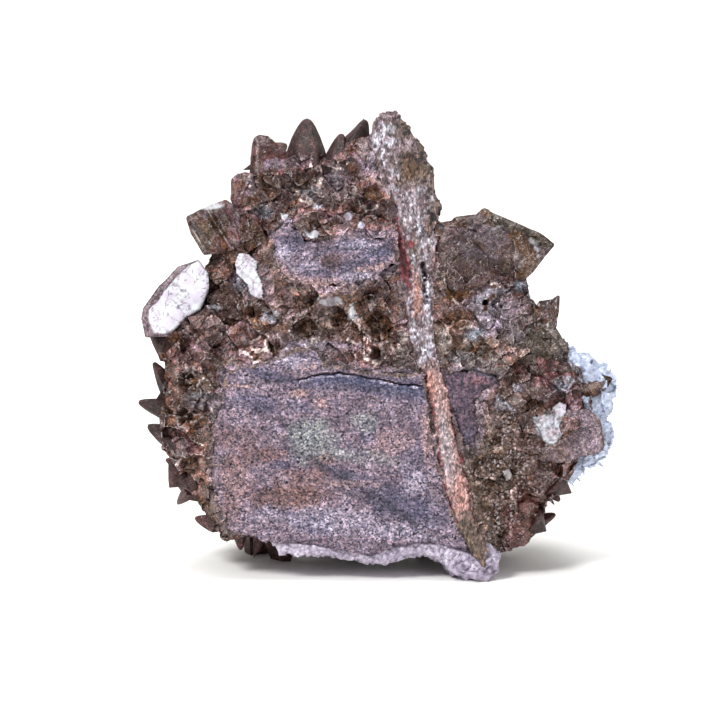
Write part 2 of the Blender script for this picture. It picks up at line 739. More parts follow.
def slab_depth(x, h):
    waves = arc_waves(x, h)
    lifted = soft_step(h - height_of_arc(x) + waves, -0.08, 0.10) * soft_step(x, -13.0, -8.0)
    crack = line(x, h + waves, ARC, 0.2)
    bedding = 0.10 * rolling(x / 5, h + 0.16 * x, 0.6, 21) + 0.10 * rolling(x / 9, h, 0.8, 22) * lifted
    sand = 0.08 * rolling(x, h, 0.32, 23) + 0.08 * rolling(x, h, 0.75, 24)
    swell = 0.22 * rolling(x, h, 9.0, 26) + 0.14 * rolling(x, h, 3.6, 27)
    edge = 0.15 * (1 - soft_step(distance_to(x, h, SLAB_OUTLINE, closed=True), 0.0, 0.6))
    return 0.1 + swell - 0.34 * lifted + 0.4 * crack + bedding + sand + 0.2 * small_holes(x, h) + edge


slab = relief(
    "host_rock_slab_sandy", SLAB_OUTLINE, ROCK_STEP, slab_depth, [(1.4, 0.99), (4.0, 0.95), (7.9, 0.9)])

# %% Stains in the slab
paint(slab, "navy", lambda x, h: np.maximum(
    0.75 * soft_step(height_of_arc(x) - h, -0.1, 0.2) * (1 - soft_step(height_of_arc(x) - h, 0.5, 3.0))
    * soft_step(x, -12.0, -6.0),
    patches(x, h, [(-13.0, 15.0, 5.0, 0.5, 0.35), (-4.0, 13.5, 7.0, 0.6, 0.45), (3.5, 9.5, 5.0, 2.0, 0.5),
                   (-8.5, 7.2, 3.6, 1.0, 0.45), (-15.0, 22.4, 3.0, 1.2, 0.45), (-1.0, 18.0, 1.0, 0.8, 0.5),
                   (-9.6, 22.0, 2.0, 0.6, 0.4), (4.5, 15.5, 1.8, 2.4, 0.35), (-13.5, 26.0, 3.4, 0.7, 0.5),
                   (1.0, 26.0, 4.4, 0.5, 0.4)], turn_degrees=-16, soft=1.1)))
paint(slab, "rust", spots([
    (-14.3, 16.0, 2.3, 1.0, 0.42), (-10.8, 10.9, 5.0, 1.5, 0.5), (-9.0, 13.0, 3.4, 1.4, 0.35),
    (-4.5, 7.4, 1.6, 0.9, 0.3), (-6.8, 15.2, 1.8, 0.9, 0.3), (-17.5, 14.0, 2.5, 5.5, 0.3)],
    ragged=0.8, soft=1.3))
paint(slab, "green", spots([
    (-8.6, 18.2, 2.7, 2.5, 0.6), (-5.0, 16.4, 3.4, 0.9, 0.45), (-1.4, 20.2, 1.8, 1.2, 0.45),
    (0.5, 15.6, 3.0, 0.7, 0.35)], turn_degrees=-20, ragged=0.7, soft=1.2))
paint(slab, "pink", spots([
    (-9.6, 23.6, 1.1, 0.5, 0.7), (-6.9, 22.4, 0.9, 0.7, 0.6), (-8.6, 27.0, 1.1, 0.6, 0.6),
    (-18.0, 24.6, 2.2, 0.25, 0.8), (6.4, 18.2, 0.9, 3.4, 0.6), (-17.5, 12.0, 1.5, 3.5, 0.25),
    (1.8, 17.4, 2.8, 2.0, 0.3), (-3.0, 12.4, 4.0, 0.4, 0.4)], ragged=0.5, soft=1.0))
paint(slab, "pale", lambda x, h: np.maximum(
    patches(x, h, [(-5.0, 7.6, 5.5, 1.5, 0.45), (2.5, 6.4, 5.0, 1.0, 0.35), (-13.0, 8.4, 3.5, 1.0, 0.25),
                   (-9.8, 27.6, 2.2, 0.8, 0.4), (4.8, 12.5, 1.6, 1.2, 0.35)],
            turn_degrees=-6, ragged=0.6, soft=1.2),
    0.6 * line(x, h + 0.28, ARC, 0.34) * (rolling(x, h, 0.5, 31) > -0.1)))
paint(slab, "dark", lambda x, h: np.maximum.reduce([
    line(x, h + arc_waves(x, h), ARC, 0.2) * (0.75 + 0.4 * rolling(x, h, 1.4, 29)),
    0.3 * line(x, h, FAINT_ARC, 0.5), 0.95 * small_holes(x, h),
    0.35 * line(x, h, [(-11.5, 17.4), (-5.5, 13.6), (-1.0, 11.2), (4.0, 8.0)], 1.2),
    0.3 * line(x, h, [(-5.0, 11.8), (1.0, 9.6), (7.0, 6.0)], 1.0)]))

SAND_SPECKLE = [(0.0, 0.22), (0.13, 0.52), (0.34, 0.92), (0.64, 1.35), (0.86, 2.0)]


def ragged_edge(x, h, outline, width=0.7):
    """1 along an outline, breaking up inwards."""
    return 1 - soft_step(distance_to(x, h, outline, closed=True) + 0.5 * crumpled(x, h, 0.9, 30), 0.0, width)


paint(slab, "edge", lambda x, h: 0.8 * ragged_edge(x, h, SLAB_OUTLINE) * soft_step(h, 5.5, 8.0))
sandy_rock = mineral(
    "sandy_purple_rock",
    [(0.33, shade("5a4b5d")), (0.50, shade("7b6a79")), (0.67, shade("948598"))],
    [("navy", shade("484a66")), ("green", shade("888d90")), ("rust", shade("775349")),
     ("pink", shade("a58789")), ("pale", shade("aaa2b8")), ("dark", shade("232030")),
     ("edge", shade("6a5750"))],
    SAND_SPECKLE, grain=0.20, roughness=(0.6, 0.85), bump=0.09, bump_size=0.3, cloud=0.35,
    layers=[((0.25, 1, 1), 0.35, 0.70, 1.30), ((0.35, 1, 1), 1.6, 0.86, 1.12)], ridge=(0.5, 1.6), cold=0.28)
wear(slab, sandy_rock)
settle(slab, "host_rock_slab")

# %% [markdown]
# ## The lens and the wedge
# Two smaller fragments of the same rock sit higher up. The lens has a pinkish rim and a dark red spot;
# the wedge is darker, with black cracks along its top and its right side.

# %% The lens
LENS_OUTLINE = [
    (-13.1, 41.8), (-12.6, 43.6), (-11.7, 44.9), (-10.2, 44.6), (-9.2, 43.5), (-7.6, 42.7),
    (-5.4, 42.8), (-3.6, 43.4), (-2.1, 43.9), (-0.2, 43.3), (2.4, 43.5), (2.6, 39.6), (1.0, 38.7),
    (-1.5, 37.7), (-4.0, 36.5), (-7.1, 37.0), (-10.8, 37.5), (-12.7, 39.2),
]


def small_rock_depth(x, h):
    sand = 0.07 * rolling(x, h, 0.32, 33) + 0.09 * rolling(x, h, 0.75, 34)
    beds = 0.12 * rolling(x / 4, h + 0.1 * x, 0.9, 35)
    return 0.25 * rolling(x, h, 3.6, 36) + 0.2 * crumpled(x, h, 1.6, 37) + sand + beds + 0.15


lens = relief(
    "host_rock_lens_sandy", LENS_OUTLINE, ROCK_STEP,
    lambda x, h: small_rock_depth(x, h) + 0.1 * ragged_edge(x, h, LENS_OUTLINE, 1.0),
    [(1.6, 0.98), (4.9, 0.9)], ragged=0.6)
paint(lens, "edge", lambda x, h: 0.35 * ragged_edge(x, h, LENS_OUTLINE, 0.6))
paint(lens, "navy", spots([
    (0.0, 41.1, 2.6, 0.6, 0.5), (-10.6, 42.2, 1.8, 1.2, 0.4), (-4.0, 39.4, 5.0, 1.0, 0.4),
    (-6.0, 41.3, 3.0, 0.5, 0.3)], turn_degrees=8, soft=1.1))
paint(lens, "rust", spots([(-5.6, 40.0, 1.5, 1.0, 0.5)], ragged=0.8, soft=1.2))
paint(lens, "green", even(0))
paint(lens, "pink", lambda x, h: np.maximum(
    0.8 * line(x, h, [(-13.0, 40.4), (-11.8, 38.0), (-8.4, 37.0), (-4.6, 36.9)], 1.6, 1.0),
    0.7 * line(x, h, [(-2.4, 39.0), (-0.2, 39.3), (2.6, 40.2)], 0.7, 1.0)))
paint(lens, "pale", spots([
    (-2.6, 42.2, 2.6, 0.7, 0.5), (-11.8, 41.2, 1.0, 1.2, 0.5), (-2.6, 38.2, 2.2, 0.6, 0.4),
    (-8.8, 39.4, 2.0, 0.6, 0.3)], ragged=0.6, soft=1.1))
paint(lens, "dark", lambda x, h: np.maximum(
    0.3 * line(x, h, [(-9.0, 41.8), (-4.0, 41.6), (2.0, 41.8)], 0.5),
    patches(x, h, [(-5.6, 40.0, 1.3, 0.9, 0.42), (-3.4, 39.9, 0.7, 0.45, 0.4), (-10.0, 43.4, 1.0, 0.7, 0.3)],
            ragged=0.8, soft=1.0)))
wear(lens, sandy_rock)
settle(lens, "host_rock_lens")

# %% The wedge
WEDGE_OUTLINE = [
    (8.2, 26.2), (10.2, 26.7), (12.8, 27.0), (14.9, 26.2), (15.7, 25.7), (13.4, 23.7),
    (12.6, 22.2), (13.0, 18.8), (12.3, 16.9), (10.7, 16.8), (9.9, 19.0), (8.8, 23.0),
]
wedge = relief(
    "host_rock_wedge_sandy", WEDGE_OUTLINE, ROCK_STEP,
    lambda x, h: small_rock_depth(x, h) + 0.3 * ragged_edge(x, h, WEDGE_OUTLINE, 0.8),
    [(1.6, 0.98), (5.4, 0.9)], ragged=0.35)
paint(wedge, "edge", lambda x, h: 0.7 * ragged_edge(x, h, WEDGE_OUTLINE, 0.6) * (x > 11.0))
paint(wedge, "navy", spots([
    (11.2, 18.2, 1.6, 1.6, 0.3), (14.0, 26.0, 1.8, 0.5, 0.5)], ragged=0.8, soft=1.3))
paint(wedge, "rust", spots([(12.5, 25.2, 1.6, 0.8, 0.3)], soft=1.2))
paint(wedge, "pale", spots([(12.0, 26.7, 3.0, 0.35, 0.5)], soft=1.1))
paint(wedge, "dark", lambda x, h: np.maximum.reduce([
    line(x, h, [(8.4, 26.4), (11.8, 26.6), (15.2, 25.7)], 0.34) * soft_step(x, 8.0, 9.0),
    0.9 * line(x, h, [(13.2, 24.6), (14.8, 22.8)], 0.3),
    0.8 * line(x, h, [(8.3, 25.8), (8.8, 22.0), (9.8, 18.6)], 0.4), 0.7 * small_holes(x, h)]))

dark_rock = mineral(
    "dark_purple_rock",
    [(0.30, shade("423441")), (0.50, shade("5a4758")), (0.70, shade("725d70"))],
    [("navy", shade("474a60")), ("rust", shade("7a4f52")), ("pale", shade("a79cae")),
     ("dark", shade("1d1820")), ("edge", shade("6a5750"))],
    SAND_SPECKLE, grain=0.24, roughness=(0.55, 0.8), bump=0.09, bump_size=0.3, cloud=0.35,
    layers=[((0.3, 1, 1), 0.4, 0.75, 1.25)], ridge=(0.5, 1.6), cold=0.28)
wear(wedge, dark_rock)
settle(wedge, "host_rock_wedge")

# %% [markdown]
# ## The seam
# A vein of fibres runs from the peak to the foot. Above, its fibres stand upright and are grey white with
# an orange window; below, it is a raised salmon ribbon with dark red cracks along both edges. The relief
# follows the vein: one measure runs along it and one across it.

# %% The vein's two edges
SEAM_LADDER = [
    # height, the left edge's x, the right edge's x
    (58.8, 1.0, 1.7), (58.2, 0.2, 2.5), (57.3, -0.5, 3.5), (56.0, -0.8, 4.6), (54.0, -0.8, 6.2),
    (51.5, -0.2, 7.3), (49.0, 1.3, 7.6), (46.5, 2.2, 7.7), (44.0, 2.3, 7.6), (41.0, 2.3, 7.4),
    (38.0, 2.5, 7.4), (35.0, 3.1, 7.4), (32.0, 3.6, 7.3), (29.0, 4.2, 7.7), (26.3, 5.6, 8.4),
    (24.0, 6.1, 9.0), (21.5, 6.6, 9.6), (19.0, 7.1, 10.1), (16.5, 7.3, 10.5), (14.0, 7.6, 11.1),
    (11.5, 8.2, 11.6), (9.0, 9.0, 12.1), (6.5, 9.8, 13.1), (4.2, 11.4, 13.8), (3.2, 12.0, 13.8),
    (2.5, 12.8, 13.5),
]
SEAM_OUTLINE = [(left, height) for height, left, right in SEAM_LADDER]
SEAM_OUTLINE += [(right, height) for height, left, right in reversed(SEAM_LADDER)]
RIBBON_TOP = 26.4
SEAM_CRACK = [(5.7, 39.8), (6.0, 38.0), (5.8, 36.6), (6.3, 35.0)]


def vein_edges(h):
    """The x of the vein's left and right edge at each height."""
    up = list(reversed(SEAM_LADDER))
    heights = [step[0] for step in up]
    return np.interp(h, heights, [step[1] for step in up]), np.interp(h, heights, [step[2] for step in up])


def across_vein(x, h):
    """0 on the vein's left edge and 1 on its right edge."""
    left, right = vein_edges(h)
    return (x - left) / (right - left)


def seam_depth(x, h):
    left, right = vein_edges(h)
    share = np.clip((x - left) / (right - left), 0, 1)
    off_line = x - (left + right) / 2 + 0.25 * crumpled(x, h, 2.5, 51)
    ribbon = 1 - soft_step(h, RIBBON_TOP - 0.8, RIBBON_TOP + 0.8)
    fibres = 0.13 * rolling(off_line, h / 9, 0.34, 52) + 0.09 * rolling(off_line, h / 6, 0.7, 53)
    lumps = 0.35 * crumpled(x, h, 2.2, 54) + 0.16 * rolling(x, h, 0.5, 55) + 0.10 * rolling(x, h, 0.3, 56)
    dome = (0.1 + 0.15 * ribbon) * (2 * share - 1) ** 2
    crest = -0.25 * ribbon * (1 - (2 * share - 1) ** 4)
    crumbly = 0.5 * crumpled(x, h, 0.8, 49) * ribbon * (0.45 + 0.55 * soft_step(abs(2 * share - 1), 0.3, 0.8))
    window = 0.5 * patch(x, h, (3.9, 51.7), (1.5, 2.0))
    wavy = x + 0.3 * crumpled(x, h, 1.0, 50)
    crack = 0.4 * line(wavy, h, [(2.2, 45.0), (3.0, 41.5), (4.0, 38.4)], 0.7)
    crack += 0.5 * line(wavy, h, SEAM_CRACK, 0.5) * (rolling(x, h, 0.5, 46) > -0.3)
    crack += 1.2 * ribbon * (1 - soft_step(share, 0.0, 0.12)) * soft_step(rolling(x, h, 1.6, 45), -0.5, 0.1)
    foot = -0.5 * (1 - soft_step(h, 3.4, 5.6))
    shape = 0.35 + foot + dome + crest + crumbly
    return shape + fibres * (1 - 0.3 * ribbon) + lumps * (0.8 - 0.3 * ribbon) + window + crack


seam = relief(
    "mineral_seam_fibrous", SEAM_OUTLINE, 0.14, seam_depth, [(1.8, 0.995), (4.6, 0.95)], ragged=0.4)

# %% The vein's colours
def along_edges(x, h, size, salts, above, left, right):
    """1 in broken lines along the ribbon's two edges."""
    across = across_vein(x, h)
    on_left = (rolling(x, h, size, salts[0]) > above) * (1 - soft_step(across, *left))
    on_right = (rolling(x, h, size, salts[1]) > above) * soft_step(across, *right)
    return (h < RIBBON_TOP) * np.maximum(on_left, on_right)


def seam_white(x, h):
    """White lumps, and fibres between them, all broken up by fine flecks."""
    lumps = patches(x, h, [
        (0.9, 55.2, 1.4, 2.2, 0.75), (4.4, 31.0, 0.9, 0.8, 1.0), (6.4, 29.4, 1.5, 2.0, 0.6),
        (5.0, 27.6, 0.9, 1.2, 0.5), (4.9, 47.6, 2.0, 2.0, 0.4), (2.2, 50.6, 0.7, 2.8, 0.4),
        (2.9, 46.4, 0.6, 1.2, 0.4)], ragged=0.6, soft=1.2)
    fibres = 0.4 * (abs(x - 5.6) < 1.9) * (h > 31) * (h < 44.5) * (rolling(x, h / 3, 0.5, 44) > 0.1)
    streak = 0.6 * line(x, h, [(5.3, 45.6), (5.9, 40.6), (6.5, 33.0)], 1.0, 0.8)
    return np.maximum.reduce([lumps, fibres, streak]) * soft_step(rolling(x, h / 1.5, 0.3, 59), -0.6, 0.5)


def seam_dark(x, h):
    """Cracks above, and gaps along the ribbon's edges below."""
    wavy = x + 0.3 * crumpled(x, h, 1.0, 50)
    return np.maximum.reduce([
        0.3 * line(wavy, h, [(2.6, 43.6), (3.2, 40.6), (3.9, 38.6)], 0.22),
        0.9 * line(wavy, h, SEAM_CRACK, 0.6, 0.9) * (rolling(x, h, 0.35, 43) > -0.15),
        0.8 * (rolling(x, h, 0.4, 60) > 0.3) * soft_step(across_vein(x, h), 0.45, 0.9) * (h > 43),
        0.8 * along_edges(x, h, 0.7, (61, 62), 0.2, (0.02, 0.10), (0.9, 0.98))])


paint(seam, "ribbon", lambda x, h: 1 - soft_step(
    h + 0.8 * crumpled(x, h, 2.0, 57), RIBBON_TOP - 0.5, RIBBON_TOP + 0.7))
paint(seam, "middle", spots([(8.6, 16.8, 0.8, 4.4, 0.9)], turn_degrees=8, soft=1.0))
paint(seam, "salmon", lambda x, h: np.maximum.reduce([
    patches(x, h, [(5.0, 36.0, 0.7, 2.6, 0.7), (6.7, 24.6, 0.8, 2.6, 0.7), (10.6, 11.0, 0.9, 2.6, 0.6)],
            ragged=0.7, soft=1.2),
    0.5 * line(x, h, [(2.2, 47.5), (2.4, 44.0), (2.5, 38.0)], 0.5, 1.0),
    0.3 * soft_step(across_vein(x, h), 0.8, 1.0) * (h < 46)]))
paint(seam, "red", lambda x, h: np.maximum.reduce([
    0.9 * line(x + 0.5 * crumpled(x, h, 0.9, 50), h,
               [(2.3, 45.4), (2.9, 42.0), (3.6, 39.0), (3.9, 37.0)], 0.8, 0.9),
    patches(x, h, [(3.8, 42.3, 0.7, 0.45, 0.7), (3.6, 39.3, 0.7, 1.6, 0.8)], ragged=0.9, soft=0.8),
    0.75 * (h > 7.5) * along_edges(x, h, 0.8, (48, 47), -0.2, (0.10, 0.30), (0.76, 0.92))]))
paint(seam, "orange", lambda x, h: np.maximum(
    patch(x, h, (3.9, 51.7), (1.5, 2.0), ragged=0.6, soft=0.8) * (0.45 + 0.6 * rolling(x, h / 8, 0.45, 58)),
    patches(x, h, [(-0.4, 52.2, 0.6, 1.3, 0.6), (6.4, 44.0, 0.4, 3.0, 0.4)], soft=1.0)))
paint(seam, "white", seam_white)
paint(seam, "brown", spots([
    (3.2, 56.6, 1.6, 1.2, 0.7), (6.0, 53.0, 1.3, 3.0, 0.9), (7.2, 48.6, 0.8, 3.4, 0.7),
    (3.9, 51.7, 2.0, 2.4, 0.6), (5.6, 28.5, 2.2, 2.4, 0.12), (11.6, 5.4, 2.0, 3.2, 0.8),
    (13.0, 3.2, 1.6, 1.8, 0.9), (4.6, 41.5, 0.8, 2.0, 0.5)], soft=1.2))
paint(seam, "dark", seam_dark)

fibrous = mineral(
    "fibrous_vein",
    [(0.30, shade("4f3f45")), (0.50, shade("7f6b70")), (0.68, shade("b0a2ac"))],
    [("ribbon", shade("ab8a88")), ("middle", shade("a39398")), ("salmon", shade("b08077")),
     ("brown", shade("66554a")), ("orange", shade("6f5340")), ("white", shade("c8c6d4")),
     ("red", shade("64262c")), ("dark", shade("251a1e"))],
    [(0.0, 0.32), (0.14, 0.66), (0.42, 1.0), (0.72, 1.35), (0.90, 1.9)], grain=0.17, ground_size=0.9,
    roughness=(0.5, 0.8), bump=0.09, bump_size=0.4, cloud=0.4, stretch=(1.0, 1.0, 0.5), ridge=(0.5, 1.55),
    curls=[(0.5, 1.5, 0.75, 1.35)])
wear(seam, fibrous)
settle(seam, "mineral_seam")

# %% [markdown]
# ## The calcite's broken side
# Calcite breaks along flat planes, so its broken side is made of small tilted faces, each with its own
# shine. Between larger crystals stand pale walls, and where a crystal fell out a dark pit is left. Cells
# of three sizes give the faces, and their borders give the walls.

# %% Facets of three sizes
CALCITE_OUTLINE = [
    (-19.4, 4.8), (-22.0, 9.5), (-25.0, 14.0), (-27.2, 16.8), (-27.0, 21.0), (-26.7, 25.0),
    (-27.0, 28.6), (-26.8, 31.6), (-24.2, 34.6), (-22.2, 38.0), (-20.6, 41.5), (-19.0, 44.0),
    (-17.4, 47.0), (-16.2, 50.0), (-14.6, 52.0), (-11.5, 53.2), (-8.0, 54.0), (-6.1, 52.8),
    (-3.5, 55.0), (-0.5, 56.0), (1.4, 57.4), (3.6, 56.0), (5.9, 53.0), (6.9, 50.0), (7.2, 46.4),
    (8.5, 44.6), (12.0, 44.4), (15.0, 43.0), (17.2, 40.3), (18.4, 38.6), (19.2, 37.3),
    (18.9, 36.2), (19.6, 35.0), (21.8, 32.0), (23.4, 29.3), (25.6, 27.2), (27.0, 24.5),
    (26.8, 20.5), (27.0, 17.2), (24.8, 13.6), (21.3, 9.6), (19.4, 4.9), (16.5, 3.8), (13.6, 3.6),
    (10.0, 4.4), (5.0, 4.8), (0.0, 4.2), (-5.0, 4.5), (-11.0, 4.9), (-15.5, 6.0),
]
CALCITE_FACE_DEPTH = 1.3
DEPTH_BY_ROCKS = 0.45
BRIGHT_FACE_DEPTH = 0.75
DEEPEST = 4.3
FACE_SIZE = 3.0
FACE_SALT = 70
WALL_WIDTH = 0.34
PITS = [
    # x, height, radius, how deep
    (-9.0, 50.2, 1.5, 1.8), (-0.7, 48.7, 1.6, 2.4), (0.4, 32.4, 1.8, 2.8), (0.7, 30.4, 0.8, 1.4),
    (-0.1, 28.5, 1.0, 1.8), (-8.5, 31.9, 1.5, 2.4), (-12.6, 29.2, 1.1, 2.0), (-15.4, 28.2, 0.6, 1.4),
    (-15.4, 33.7, 1.1, 1.6), (-23.5, 25.0, 1.2, 1.8), (-23.8, 20.7, 1.1, 1.8), (-23.3, 14.6, 1.3, 2.6),
    (-19.8, 44.3, 1.1, 2.8), (13.6, 34.8, 0.42, 5.5), (-4.6, 33.0, 1.2, 1.8), (-3.2, 47.2, 1.0, 1.2),
    (8.6, 32.9, 1.1, 1.6), (10.6, 31.0, 1.3, 1.2), (19.4, 9.4, 1.8, 2.8), (-25.0, 30.0, 1.6, 1.6),
]
SUGARY = [(15.0, 12.0, 5.5, 8.5, 1.0), (15.5, 19.0, 2.6, 3.0, 0.8), (12.5, 33.2, 4.0, 1.6, 0.5)]
BRIGHT_FACES = {
    "upper left": [(-17.2, 41.2), (-15.9, 41.0), (-14.9, 40.0), (-15.1, 39.0), (-14.4, 37.4),
                   (-14.2, 36.1), (-14.7, 35.5), (-15.9, 36.1), (-16.2, 37.2), (-17.6, 38.7),
                   (-17.7, 40.0)],
    "lower right": [(19.2, 20.6), (21.0, 21.0), (22.2, 21.0), (23.6, 19.9), (23.0, 18.3), (21.8, 17.0),
                    (20.8, 17.8), (20.1, 19.2)],
    "beside it": [(21.9, 21.8), (22.8, 22.6), (23.7, 22.2), (23.6, 20.8), (22.6, 20.6)],
    "flake": [(-9.1, 44.0), (-8.4, 43.6), (-7.8, 44.1), (-7.2, 43.9), (-7.3, 43.2), (-8.1, 42.9),
              (-8.9, 43.3)],
    "small": [(15.7, 13.9), (16.6, 14.2), (17.0, 13.2), (16.2, 12.6)],
}
SUGAR_GRAIN = 0.55
LEVEL_WITH_CRYSTALS = [
    (11.5, 37.0, 5.0, 1.8, 0.9), (15.8, 37.4, 4.0, 1.2, 0.8), (16.5, 22.5, 4.2, 4.2, 0.6),
    (24.2, 18.5, 4.4, 3.6, 0.7), (19.8, 29.5, 4.8, 4.8, 0.7),
]
ROCKS = [SLAB_OUTLINE, LENS_OUTLINE, WEDGE_OUTLINE, SEAM_OUTLINE]
FACE_SIZES = [
    # share of the size, step, slope, aspect, share of the tone
    (1.0, 0.13, 0.46, 1.5, 0.46), (0.42, 0.09, 0.42, 1.5, 0.34), (0.17, 0.05, 0.28, 1.0, 0.20),
]


def broken_faces(x, h, size, salt):
    """Tilted faces of three sizes: depth, tone, the seams between the largest, and each one's chance."""
    wx = x + 0.20 * size * crumpled(x, h, size * 1.2, salt)
    wh = h + 0.20 * size * crumpled(x, h, size * 1.2, salt + 3)
    depth, tone = np.zeros_like(x), np.zeros_like(x)
    for part, (share, step, slope, aspect, tone_share) in enumerate(FACE_SIZES):
        du, dv, border, high, tilt = cells(
            wx, wh, size * share, salt + 5 + part, 0.7 + 1.3 * part, 0.10, aspect)
        way = tilt * 2 * math.pi
        depth += size * share * step * (high * 2 - 1) + slope * (du * np.cos(way) + dv * np.sin(way))
        tone += tone_share * (0.5 * high + 0.5 * (0.5 + 0.5 * np.cos(way)))
        if part < 2:
            across = du * np.sin(way) - dv * np.cos(way)
            along = du * np.cos(way) + dv * np.sin(way)
            striae = rolling(across, along / 8, 0.28 - 0.04 * part, salt + 20 + part)
            depth += 0.11 * striae
            tone += 0.24 * striae
        if part == 0:
            seams = (1 - soft_step(border, 0.02, 0.15)) * soft_step(rolling(x, h, 1.3, salt + 9), -0.3, 0.1)
            kind = high
    return depth, np.clip((tone - 0.5) * 2.5 + 0.5, 0, 1), seams, kind


def pits_at(x, h):
    """How deep the pits are here, and the raised rims round them."""
    wx = x + 0.35 * rolling(x, h, 0.9, 63)
    wh = h + 0.35 * rolling(x, h, 0.9, 64)
    hollow, rims = np.zeros_like(x), np.zeros_like(x)
    for px, ph, radius, deep in PITS:
        turn = px * 2.3
        u = abs((wx - px) * math.cos(turn) + (wh - ph) * math.sin(turn))
        v = abs((wh - ph) * math.cos(turn) - (wx - px) * math.sin(turn))
        away = np.maximum(u * 0.9 + v * 0.4, v * 0.9) / radius
        hollow = np.maximum(hollow, 0.46 * deep * (1 - soft_step(away, 0.45, 1.05)))
        rim = np.exp(-((away - 1.2) / 0.18) ** 2)
        rims = np.maximum(rims, rim * soft_step(rolling(x, h, 1.0, 65), -0.1, 0.3))
    return hollow, rims


def fine_cracks(x, h):
    """Hair cracks that run across a cleavage face."""
    wx, wh = x + 0.3 * crumpled(x, h, 1.2, 95), h + 0.3 * crumpled(x, h, 1.2, 96)
    along = wx * 0.77 + wh * 0.64
    across = wh * 0.77 - wx * 0.64
    border = cells(along, across / 1.8, 1.5, 97, roundness=0.15)[2]
    short = cells(along * 1.1, across / 1.2, 0.55, 98, roundness=0.2)[2]
    thin = (1 - soft_step(short, 0.02, 0.06)) * (rolling(x, h, 1.2, 99) > 0.1)
    wide = (1 - soft_step(border, 0.02, 0.09)) * soft_step(rolling(x, h, 0.9, 108), -0.7, 0.5)
    return np.maximum(0.85 * wide, 0.8 * thin)


PALE_WALLS = [
    [(-1.9, 31.9), (-1.2, 30.6), (-1.4, 29.2), (-0.9, 27.7), (0.5, 27.4), (1.0, 28.8), (0.4, 30.0),
     (-1.2, 30.6)],
    [(0.4, 30.0), (1.9, 29.8), (2.4, 28.2), (3.4, 27.4)],
    [(-1.2, 30.6), (-2.6, 29.6), (-3.4, 30.4)],
    [(-14.4, 31.3), (-15.7, 29.6), (-14.9, 28.9), (-13.9, 29.2), (-13.6, 30.6), (-14.4, 31.3)],
    [(-13.9, 29.2), (-12.4, 28.6), (-11.4, 29.8)],
    [(-16.4, 28.9), (-15.0, 27.6), (-13.4, 27.6)],
    [(9.4, 35.6), (10.4, 34.6), (12.0, 36.6), (13.2, 37.3), (15.4, 37.0), (15.8, 35.9), (14.8, 34.4)],
    [(10.6, 31.6), (12.0, 31.9), (13.2, 30.7)],
    [(-23.8, 27.0), (-22.4, 25.6), (-22.0, 23.2), (-20.6, 21.6)],
    [(-22.4, 25.6), (-20.6, 25.2)],
    [(-6.8, 51.8), (-5.2, 51.2), (-3.6, 52.4)],
    [(-10.6, 48.4), (-8.4, 47.2), (-6.8, 48.2)],
]


def pale_walls(x, h):
    """The thin pale walls that stand between crystals and round some pits."""
    wx, wh = x + 0.35 * rolling(x, h, 0.7, 117), h + 0.35 * rolling(x, h, 0.7, 118)
    walls = np.maximum.reduce([line(wx, wh, wall, WALL_WIDTH, 0.9) for wall in PALE_WALLS])
    return walls * soft_step(rolling(x, h, 0.45, 119), -0.7, 0.3)


def calcite_faces(x, h):
    """The broken faces of the calcite between the larger crystals."""
    return broken_faces(x, h, FACE_SIZE, FACE_SALT)


def sugar_at(x, h):
    """How sugary each place is, and its grain's way from the middle and chance."""
    du, dv, _, high, _ = cells(x, h, SUGAR_GRAIN, 90)
    return patches(x, h, SUGARY, soft=0.8), np.hypot(du, dv), high


def calcite_depth(x, h):
    depth, _, walls, _ = calcite_faces(x, h)
    hollow, rims = pits_at(x, h)
    sugar, way, grain = sugar_at(x, h)
    grains_up = 0.80 * way + 0.55 * (grain - 0.5)
    depth = depth * (1 - 0.55 * sugar) + grains_up * sugar - 0.20 * walls * (1 - sugar) - 0.15 * rims
    depth -= patches(x, h, LEVEL_WITH_CRYSTALS, soft=1.2)
    near = np.minimum.reduce([distance_to(x, h, rock, closed=True) for rock in ROCKS])
    away = soft_step(near, 0.2, 2.4)
    depth = depth * (0.5 + 0.5 * away) + hollow
    swell = 0.35 * rolling(x, h, 5.0, 91)
    depth += DEPTH_BY_ROCKS + (CALCITE_FACE_DEPTH - DEPTH_BY_ROCKS) * away + swell * away
    for outline in BRIGHT_FACES.values():
        inside = within(x, h, outline)
        depth = np.where(inside, BRIGHT_FACE_DEPTH + 0.06 * rolling(x, h, 0.6, 92), depth)
    rim = distance_to(x, h, CALCITE_OUTLINE, closed=True)
    top = soft_step(h, 46.0, 50.0)
    depth += (1.9 - 1.2 * top) * (1 - soft_step(rim, 0.0, 2.2))
    depth -= 0.3 * pale_walls(x, h)
    return np.minimum(depth, DEEPEST)


calcite = relief(
    "calcite_broken_side", CALCITE_OUTLINE, 0.13, calcite_depth, [(3.4, 0.99), (4.6, 0.96)],
    holes=ROCKS)

# %% The calcite's colours
def calcite_tone(x, h):
    """Each face's tone, and three tones of grain where it is sugary."""
    sugar, _, grain = sugar_at(x, h)
    grain = np.where(grain < 0.30, -0.3, np.where(grain > 0.80, 0.95, 0.10 + 0.6 * grain))
    lighter = 0.14 * patch(x, h, (12.4, 33.6), (5.0, 3.6))
    return calcite_faces(x, h)[1] * (1 - sugar) + sugar * grain + lighter


def chances(x, h):
    """The chance that each of the largest faces has drawn."""
    return calcite_faces(x, h)[3]


